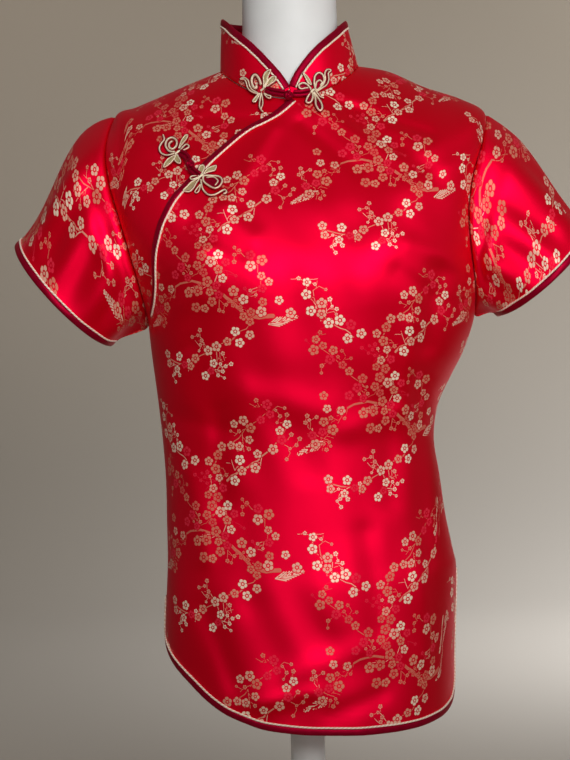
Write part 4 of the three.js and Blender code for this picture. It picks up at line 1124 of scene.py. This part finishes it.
def round_tube(name, points, radius, closed=False, tall=1.0, up=(0, -1, 0)):
    """A round or upright oval strand along a line of points, millimetres; ends taper."""
    if closed:
        along = np.roll(points, -1, axis=0) - np.roll(points, 1, axis=0)
    else:
        along = np.gradient(points, axis=0)
    along = along / (np.linalg.norm(along, axis=-1, keepdims=True) + 1e-9)
    high = np.broadcast_to(np.array(up, float), points.shape) if np.ndim(up) == 1 else up
    high = high - along * (high * along).sum(-1, keepdims=True)
    high = high / (np.linalg.norm(high, axis=-1, keepdims=True) + 1e-9)
    wide = np.cross(high, along)
    turn = np.linspace(0, 2 * np.pi, CORD_SIDES, endpoint=False)
    size = np.full(len(points), float(radius))
    if not closed:
        size[0] *= 0.55
        size[-1] *= 0.55
    sections = (points[:, None, :] + wide[:, None, :] * (np.cos(turn)[None, :] * size[:, None])[..., None]
                + high[:, None, :] * (np.sin(turn)[None, :] * size[:, None] * tall)[..., None])
    return tube_mesh(name, sections, closed)


def cord_material():
    """Pale gold rayon cord: soft gloss, ribbed by the twist of its strands."""
    made, tree, shader = material("pale_gold_twisted_cord", Roughness=0.45, Sheen_Weight=0.3)
    place = node(tree, "UVMap", uv_map="cloth")
    twist = node(tree, "TexWave", bands_direction='DIAGONAL', wave_profile='SIN', Vector=place, Scale=150.0)
    twist = twist.outputs["Fac"]
    colour = node(tree, "MixRGB", twist, linear("#EFC9A8"), linear("#FFF4E6"))
    paint_on(tree, shader, colour, node(tree, "Bump", Strength=0.6, Distance=0.0002, Height=twist))
    return made


gold_cord = cord_material()
for name, ((points, normals, inward), closed) in EDGES.items():
    middle = points + inward * (BINDING_WIDTH + CORD_RADIUS * 0.7) + normals * (CORD_RADIUS * 0.75)
    cord = round_tube(name + "_piping_cord", middle, CORD_RADIUS, closed, up=normals)
    settle(cord, "gold_cord", gold_cord, name + "_piping")


# ---------------------------------------------------------------------------
# Frogs: loops and leaves bent from a narrow gold-faced strip that stands on
# its edge, tied at a hub; satin bands run from them to the knot buttons.
# ---------------------------------------------------------------------------
FROG_STRAND = 0.72
# A strand is a leaf (closed and filled), a loop (closed) or a tail (open); then come its thickness
# beside FROG_STRAND, and its points on the frog's own plane, which has its origin at the hub and
# as many millimetres for each unit as the grain says.
FROGS = {
    "frog_collar_right": {"hub": (-29, 876), "grain": 0.0751, "origin": (430, 630), "strands": [
        ("loop", 1.0, [(370, 685), (290, 645), (240, 590), (216, 505), (192, 468), (150, 462), (150, 448),
            (200, 447), (246, 490), (264, 560), (302, 622), (372, 672)]),
        ("tail", 1.75, [(414, 566), (394, 490), (345, 424), (300, 455), (296, 535), (322, 592), (352, 600),
            (352, 570)]),
        ("leaf", 1.0, [(448, 600), (452, 520), (448, 455), (480, 402), (540, 372), (532, 410), (510, 450),
            (498, 510), (470, 565)]),
        ("leaf", 1.15, [(468, 602), (500, 532), (550, 478), (598, 466), (610, 490), (590, 530), (540, 562),
            (490, 596)]),
        ("leaf", 0.9, [(392, 676), (350, 712), (306, 762), (306, 788), (334, 788), (356, 756), (384, 704)]),
        ("tail", 1.0, [(418, 668), (396, 760), (388, 850), (402, 900), (432, 942)]),
        ("tail", 0.9, [(418, 668), (430, 770), (428, 840), (404, 900)]),
        ("loop", 0.9, [(452, 682), (484, 730), (514, 752), (538, 742), (534, 722), (500, 708)]),
    ], "band": [(470, 630), (560, 662), (640, 680), (720, 700)]},
    "frog_collar_left": {"hub": (20.5, 873.5), "grain": 0.0751, "origin": (1075, 680), "strands": [
        ("loop", 1.3, [(1108, 650), (1098, 550), (1118, 470), (1170, 438), (1214, 468), (1228, 540),
            (1196, 610), (1140, 668)]),
        ("tail", 1.1, [(1112, 640), (1130, 566), (1170, 540), (1200, 566), (1176, 610)]),
        ("loop", 1.0, [(1130, 690), (1204, 640), (1264, 592), (1292, 520), (1288, 440), (1322, 402),
            (1302, 384), (1262, 398), (1240, 450), (1246, 520), (1216, 594), (1150, 660)]),
        ("leaf", 0.8, [(1058, 600), (1010, 566), (984, 506), (956, 448), (1000, 482), (1038, 536)]),
        ("loop", 1.25, [(1048, 664), (1004, 600), (950, 580), (902, 600), (896, 634), (930, 662),
            (984, 648)]),
        ("loop", 1.25, [(1056, 700), (1010, 762), (984, 824), (1002, 850), (1042, 840), (1068, 788),
            (1072, 720)]),
        ("loop", 1.25, [(1092, 704), (1106, 790), (1110, 884), (1142, 952), (1168, 964), (1190, 930),
            (1180, 858), (1140, 780)]),
        ("tail", 0.9, [(1108, 676), (1146, 728), (1176, 766), (1220, 782)]),
    ], "band": [(1045, 690), (960, 712), (880, 720), (820, 716)]},
    "frog_upper": {"hub": (-113, 814), "grain": 0.1113, "origin": (325, 450), "strands": [
        ("tail", 1.1, [(300, 458), (232, 470), (180, 446), (164, 400), (180, 360), (206, 320), (196, 274)]),
        ("tail", 1.35, [(304, 444), (252, 432), (220, 382), (230, 330), (270, 304), (312, 330), (316, 380),
            (288, 414), (258, 404), (250, 366), (276, 340)]),
        ("leaf", 0.85, [(338, 412), (362, 330), (392, 290), (412, 286), (402, 322), (370, 366)]),
        ("loop", 1.0, [(348, 440), (370, 404), (396, 378), (422, 386), (422, 410), (390, 426)]),
        ("leaf", 0.9, [(304, 480), (250, 500), (214, 542), (206, 580), (242, 562), (276, 532)]),
        ("leaf", 0.95, [(318, 470), (300, 510), (320, 542), (346, 552), (352, 530), (338, 500)]),
    ], "band": [(345, 450), (392, 478), (424, 530), (440, 580)]},
    "frog_lower": {"hub": (-90, 788), "grain": 0.1113, "origin": (530, 690), "strands": [
        ("leaf", 0.95, [(532, 676), (514, 634), (524, 598), (550, 590), (562, 612), (550, 644)]),
        ("leaf", 0.85, [(556, 668), (590, 622), (640, 600), (664, 600), (650, 640), (602, 652)]),
        ("loop", 0.95, [(518, 690), (470, 684), (440, 696), (450, 716), (490, 706)]),
        ("leaf", 1.0, [(516, 708), (450, 740), (410, 780), (380, 814), (430, 826), (466, 796), (492, 750)]),
        ("loop", 0.8, [(526, 768), (500, 800), (480, 830), (496, 842), (516, 820)]),
        ("loop", 1.2, [(556, 690), (620, 688), (690, 700), (716, 742), (692, 790), (650, 806), (600, 780),
            (556, 738)]),
        ("tail", 0.9, [(580, 704), (640, 702), (678, 738), (654, 780)]),
        ("tail", 1.15, [(532, 720), (540, 784), (562, 832), (602, 866), (652, 866), (702, 840), (738, 824),
            (752, 850), (726, 862)]),
    ], "band": [(520, 682), (480, 650), (450, 622), (436, 600)]},
}
STRAND_HEIGHT, STRAND_TALL = 2.8, 1.9
# Under each strand lies a wider, flatter tube of the darker crimson satin, a little lower: a painted shadow
# round the strand.
SHADOW_BED_DROP, SHADOW_BED_WIDE, SHADOW_BED_TALL = 1.0, 1.9, 0.5
# How far under its strand the fill of a leaf and of a loop lies. A leaf's fill is olive-gold lurex; a loop's
# fill is a sheet of the darker crimson satin, painted shade inside the loop.
FILL_AND_SHADE_DROPS = {"leaf": 0.5, "loop": 1.4}
HUB_TIE, HUB_HEIGHT, HUB_RADIUS = (22, 16), 3.6, 1.1
BAND_HEIGHT, BAND_SPREAD, BAND_RADIUS = 3.0, 1.9, 1.75


def face_places():
    """Outer-face points of the pieces that the frogs lie on."""
    chest = int(9 * ROWS_PER_LEVEL)
    return np.concatenate([front_points[:chest].reshape(-1, 3), shoulder_points[:chest].reshape(-1, 3),
                           collar_points[:, :40].reshape(-1, 3), collar_points[:, -40:].reshape(-1, 3)])


FACE_PLACES = face_places()


def front_depth(x, z, reach=6.0):
    """The foremost cloth near each place seen from the front, softened over a few millimetres."""
    x, z = np.atleast_1d(x), np.atleast_1d(z)
    away = np.hypot(FACE_PLACES[None, :, 0] - x[:, None], FACE_PLACES[None, :, 2] - z[:, None])
    weight = np.exp(-(away / reach) ** 2) * np.exp(-(FACE_PLACES[None, :, 1] + 60) / 6.0)
    return (weight * FACE_PLACES[None, :, 1]).sum(axis=1) / weight.sum(axis=1)


def curve_through(path, closed, per_span=8):
    """A smooth line through a few points of a plane."""
    path = np.array(path, float)
    count = len(path)
    f = np.linspace(0, 1, per_span, endpoint=False)[:, None]
    points = []
    for k in range(count if closed else count - 1):
        near = [(k + i) % count if closed else min(count - 1, max(0, k + i)) for i in (-1, 0, 1, 2)]
        points.append(spline(*path[near], f))
    if not closed:
        points.append(path[-1:])
    return np.concatenate(points)


def on_cloth(frog, path, closed, high):
    """A line drawn on a frog's own plane, laid on the cloth at a height, millimetres."""
    flat = curve_through(path, closed)
    x = frog["hub"][0] + (flat[:, 0] - frog["origin"][0]) * frog["grain"]
    z = frog["hub"][1] - (flat[:, 1] - frog["origin"][1]) * frog["grain"]
    return np.stack([x, front_depth(x, z) - high, z], axis=-1)


def joined(name, pieces):
    """One object from several."""
    bpy.ops.object.select_all(action='DESELECT')
    for piece in pieces:
        piece.select_set(True)
    bpy.context.view_layer.objects.active = pieces[0]
    bpy.ops.object.join()
    pieces[0].name = name
    return pieces[0]


def leaf_fill_and_loop_shade(name, line):
    """A flat sheet inside a closed strand: a leaf's gold fill, and inside a loop a painted shade."""
    middle = line.mean(axis=0)
    line = np.concatenate([line, line[:1]])
    points = np.stack([middle + (line - middle) * f for f in (1.0, 0.6, 0.05)])
    points[1:, :, 1] -= np.array([0.35, 0.55])[:, None]
    return grid_mesh(name, points, points[..., [0, 2]] * MM)


def strip_material(name, dark, light, rough):
    """Lurex-faced strip: pale gold, fine cross ribs, a dry metallic gloss."""
    made, tree, shader = material(name, Roughness=rough, Metallic=0.35)
    place = node(tree, "UVMap", uv_map="cloth")
    ribs = node(tree, "TexWave", bands_direction='X', Vector=place, Scale=260.0).outputs["Fac"]
    cloud = node(tree, "TexNoise", Vector=place, Scale=220.0, Detail=2.0).outputs["Fac"]
    mixed = node(tree, "Math MULTIPLY_ADD", ribs, 0.5, node(tree, "Math MULTIPLY", cloud, 0.5))
    colour = node(tree, "MixRGB", mixed, linear(dark), linear(light))
    paint_on(tree, shader, colour, node(tree, "Bump", Strength=0.5, Distance=0.00015, Height=ribs))
    return made


def finished(piece, finish):
    """A part of a piece, with its material."""
    piece.data.materials.append(finish)
    return piece


gold_strip = strip_material("gold_faced_strip", "#E2C9A0", "#FFF6E2", 0.38)
leaf_gold = strip_material("gold_lurex_leaf", "#8A7448", "#D2C196", 0.42)
for name, frog in FROGS.items():
    parts = []
    for k, (kind, thick, path) in enumerate(frog["strands"]):
        closed = kind != "tail"
        line = on_cloth(frog, path, closed, STRAND_HEIGHT)
        tube = round_tube(f"{name}_strand_{k}", line, FROG_STRAND * thick, closed, STRAND_TALL)
        parts.append(finished(tube, gold_strip))
        # A wide dark satin tube under the strand: painted shadow round it.
        shadow_bed = round_tube(f"{name}_bed_{k}", line + np.array([0, SHADOW_BED_DROP, 0]), SHADOW_BED_WIDE * FROG_STRAND * thick,
                         closed, SHADOW_BED_TALL)
        parts.append(finished(shadow_bed, bias_satin_and_frog_shade))
        if closed:
            # A leaf gets its gold fill; a loop gets a sheet of dark satin, painted shade inside it.
            fill = leaf_fill_and_loop_shade(f"{name}_leaf_{k}", line + np.array([0, FILL_AND_SHADE_DROPS[kind], 0]))
            parts.append(finished(fill, leaf_gold if kind == "leaf" else bias_satin_and_frog_shade))
    x, z = frog["origin"]
    tie = on_cloth(frog, [(x - HUB_TIE[0], z + HUB_TIE[1]), (x, z), (x + HUB_TIE[0], z - HUB_TIE[1])], False,
                   HUB_HEIGHT)
    parts.append(finished(round_tube(f"{name}_hub", tie, HUB_RADIUS, tall=0.9), gold_strip))
    settle(joined(name + "_loops", parts), "frog_strip", None, name)
    line = on_cloth(frog, frog["band"], False, BAND_HEIGHT)
    way = np.gradient(line, axis=0)
    side = np.stack([-way[:, 2], np.zeros(len(way)), way[:, 0]], axis=-1)
    side *= BAND_SPREAD / np.linalg.norm(side, axis=-1, keepdims=True)
    ropes = [finished(round_tube(f"{name}_band_{sign}", line + side * sign, BAND_RADIUS), bias_satin_and_frog_shade)
             for sign in (-1, 1)]
    settle(joined(name + "_band", ropes), "binding_satin")


# ---------------------------------------------------------------------------
# Knot buttons: balls knotted from the satin band, one below the collar and
# one on the slanting edge, each held by the facing frog's loop.
# ---------------------------------------------------------------------------
KNOTS = {"knot_collar": (-3.5, 868.5), "knot_opening": (-100.5, 801)}
KNOT_HEIGHT, KNOT_ROPE, KNOT_CORE = 6.5, 1.6, 2.6
KNOT_RING, KNOT_SWING, KNOT_DEPTH = 2.3, 0.9, 2.0
for name, (x, z) in KNOTS.items():
    centre = np.array([x, front_depth(x, z)[0] - KNOT_HEIGHT, z])
    turns = np.linspace(0, 2 * np.pi, 160, endpoint=False)
    # The rope winds three times over the ball while it goes twice round it.
    out = KNOT_RING + KNOT_SWING * np.cos(3 * turns)
    around = np.stack([np.cos(2 * turns) * out, KNOT_DEPTH * np.sin(3 * turns), np.sin(2 * turns) * out],
                      axis=-1)
    ball = round_tube(name + "_rope", centre + around, KNOT_ROPE, closed=True)
    bpy.ops.object.select_all(action='DESELECT')
    bpy.ops.mesh.primitive_uv_sphere_add(segments=24, ring_count=14, radius=KNOT_CORE * MM,
                                         location=(centre * MM).tolist())
    core = bpy.context.object
    bpy.ops.object.transform_apply(location=True, rotation=True, scale=True)
    knot = joined(name + "_ball", [finished(ball, bias_satin_and_frog_shade), finished(core, bias_satin_and_frog_shade)])
    settle(knot, "binding_satin", None, name)


# ---------------------------------------------------------------------------
# Dress form: a limbless torso moulded in pale plastic, the frame's own with
# its skin smoothed, on a white painted steel pole and a round steel base.
# ---------------------------------------------------------------------------
def form_material(name, dark, light, rough):
    """Pale moulded plastic or paint: even colour, very fine grain, a dull gloss."""
    made, tree, shader = material(name, Roughness=rough)
    where = node(tree, "TexCoord").outputs["Object"]
    grain = node(tree, "TexNoise", Vector=where, Scale=40.0, Detail=4.0)
    colour = node(tree, "MixRGB", grain.outputs["Fac"], linear(dark), linear(light))
    fine = node(tree, "TexNoise", Vector=where, Scale=900.0, Detail=2.0)
    bump = node(tree, "Bump", Strength=0.15, Distance=0.0002, Height=fine.outputs["Fac"])
    paint_on(tree, shader, colour, bump)
    return made


def cylinder(name, radius, low, high, rim, node_name):
    """A smooth painted cylinder on the stand's axis, millimetres, with a rounded rim."""
    bpy.ops.object.select_all(action='DESELECT')
    bpy.ops.mesh.primitive_cylinder_add(vertices=96, radius=radius * MM, depth=(high - low) * MM,
                                        location=(0, 0, (low + high) / 2 * MM))
    made = bpy.context.object
    made.name = name
    bpy.ops.object.transform_apply(location=True, rotation=True, scale=True)
    bevel = made.modifiers.new("rim", 'BEVEL')
    bevel.width = rim * MM
    bevel.segments = 5
    bevel.limit_method = 'ANGLE'
    bpy.ops.object.shade_smooth_by_angle(angle=math.radians(40))
    settle(made, "form_metal", painted, node_name)


POLE_RADIUS, POLE_FOOT, POLE_TOP, POLE_RIM = 17.5, 10.2, 317.8, 0.5
BASE_RADIUS, BASE_HEIGHT, BASE_RIM = 150, 10, 2
SKIN_STEPS = 2
shell = form_material("pale_moulded_plastic", "#DEDEDC", "#E9E9E7", 0.55)
painted = form_material("white_painted_steel", "#E0E0DE", "#EEEEEC", 0.4)
rough_form = next(piece for piece in bpy.data.objects
                  if piece.type == 'MESH' and piece.name.startswith("form_body"))
bpy.ops.object.select_all(action='DESELECT')
rough_form.select_set(True)
bpy.context.view_layer.objects.active = rough_form
bpy.ops.object.duplicate()
torso = bpy.context.object
torso.name = "form_torso"
bpy.ops.object.mode_set(mode='EDIT')
bpy.ops.mesh.select_all(action='SELECT')
bpy.ops.mesh.remove_doubles(threshold=0.00002)
bpy.ops.mesh.tris_convert_to_quads(face_threshold=math.radians(60), shape_threshold=math.radians(60))
bpy.ops.object.mode_set(mode='OBJECT')
rounded = torso.modifiers.new("smooth_skin", 'SUBSURF')
rounded.levels = rounded.render_levels = SKIN_STEPS
bpy.ops.object.modifier_apply(modifier="smooth_skin")
bpy.ops.object.shade_smooth()
torso.data.materials.clear()
settle(torso, "form_shell", shell, "form_body")
cylinder("form_pole_tube", POLE_RADIUS, POLE_FOOT, POLE_TOP, POLE_RIM, "form_pole")
cylinder("form_base_plate", BASE_RADIUS, 0, BASE_HEIGHT, BASE_RIM, "form_base")

low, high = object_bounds()
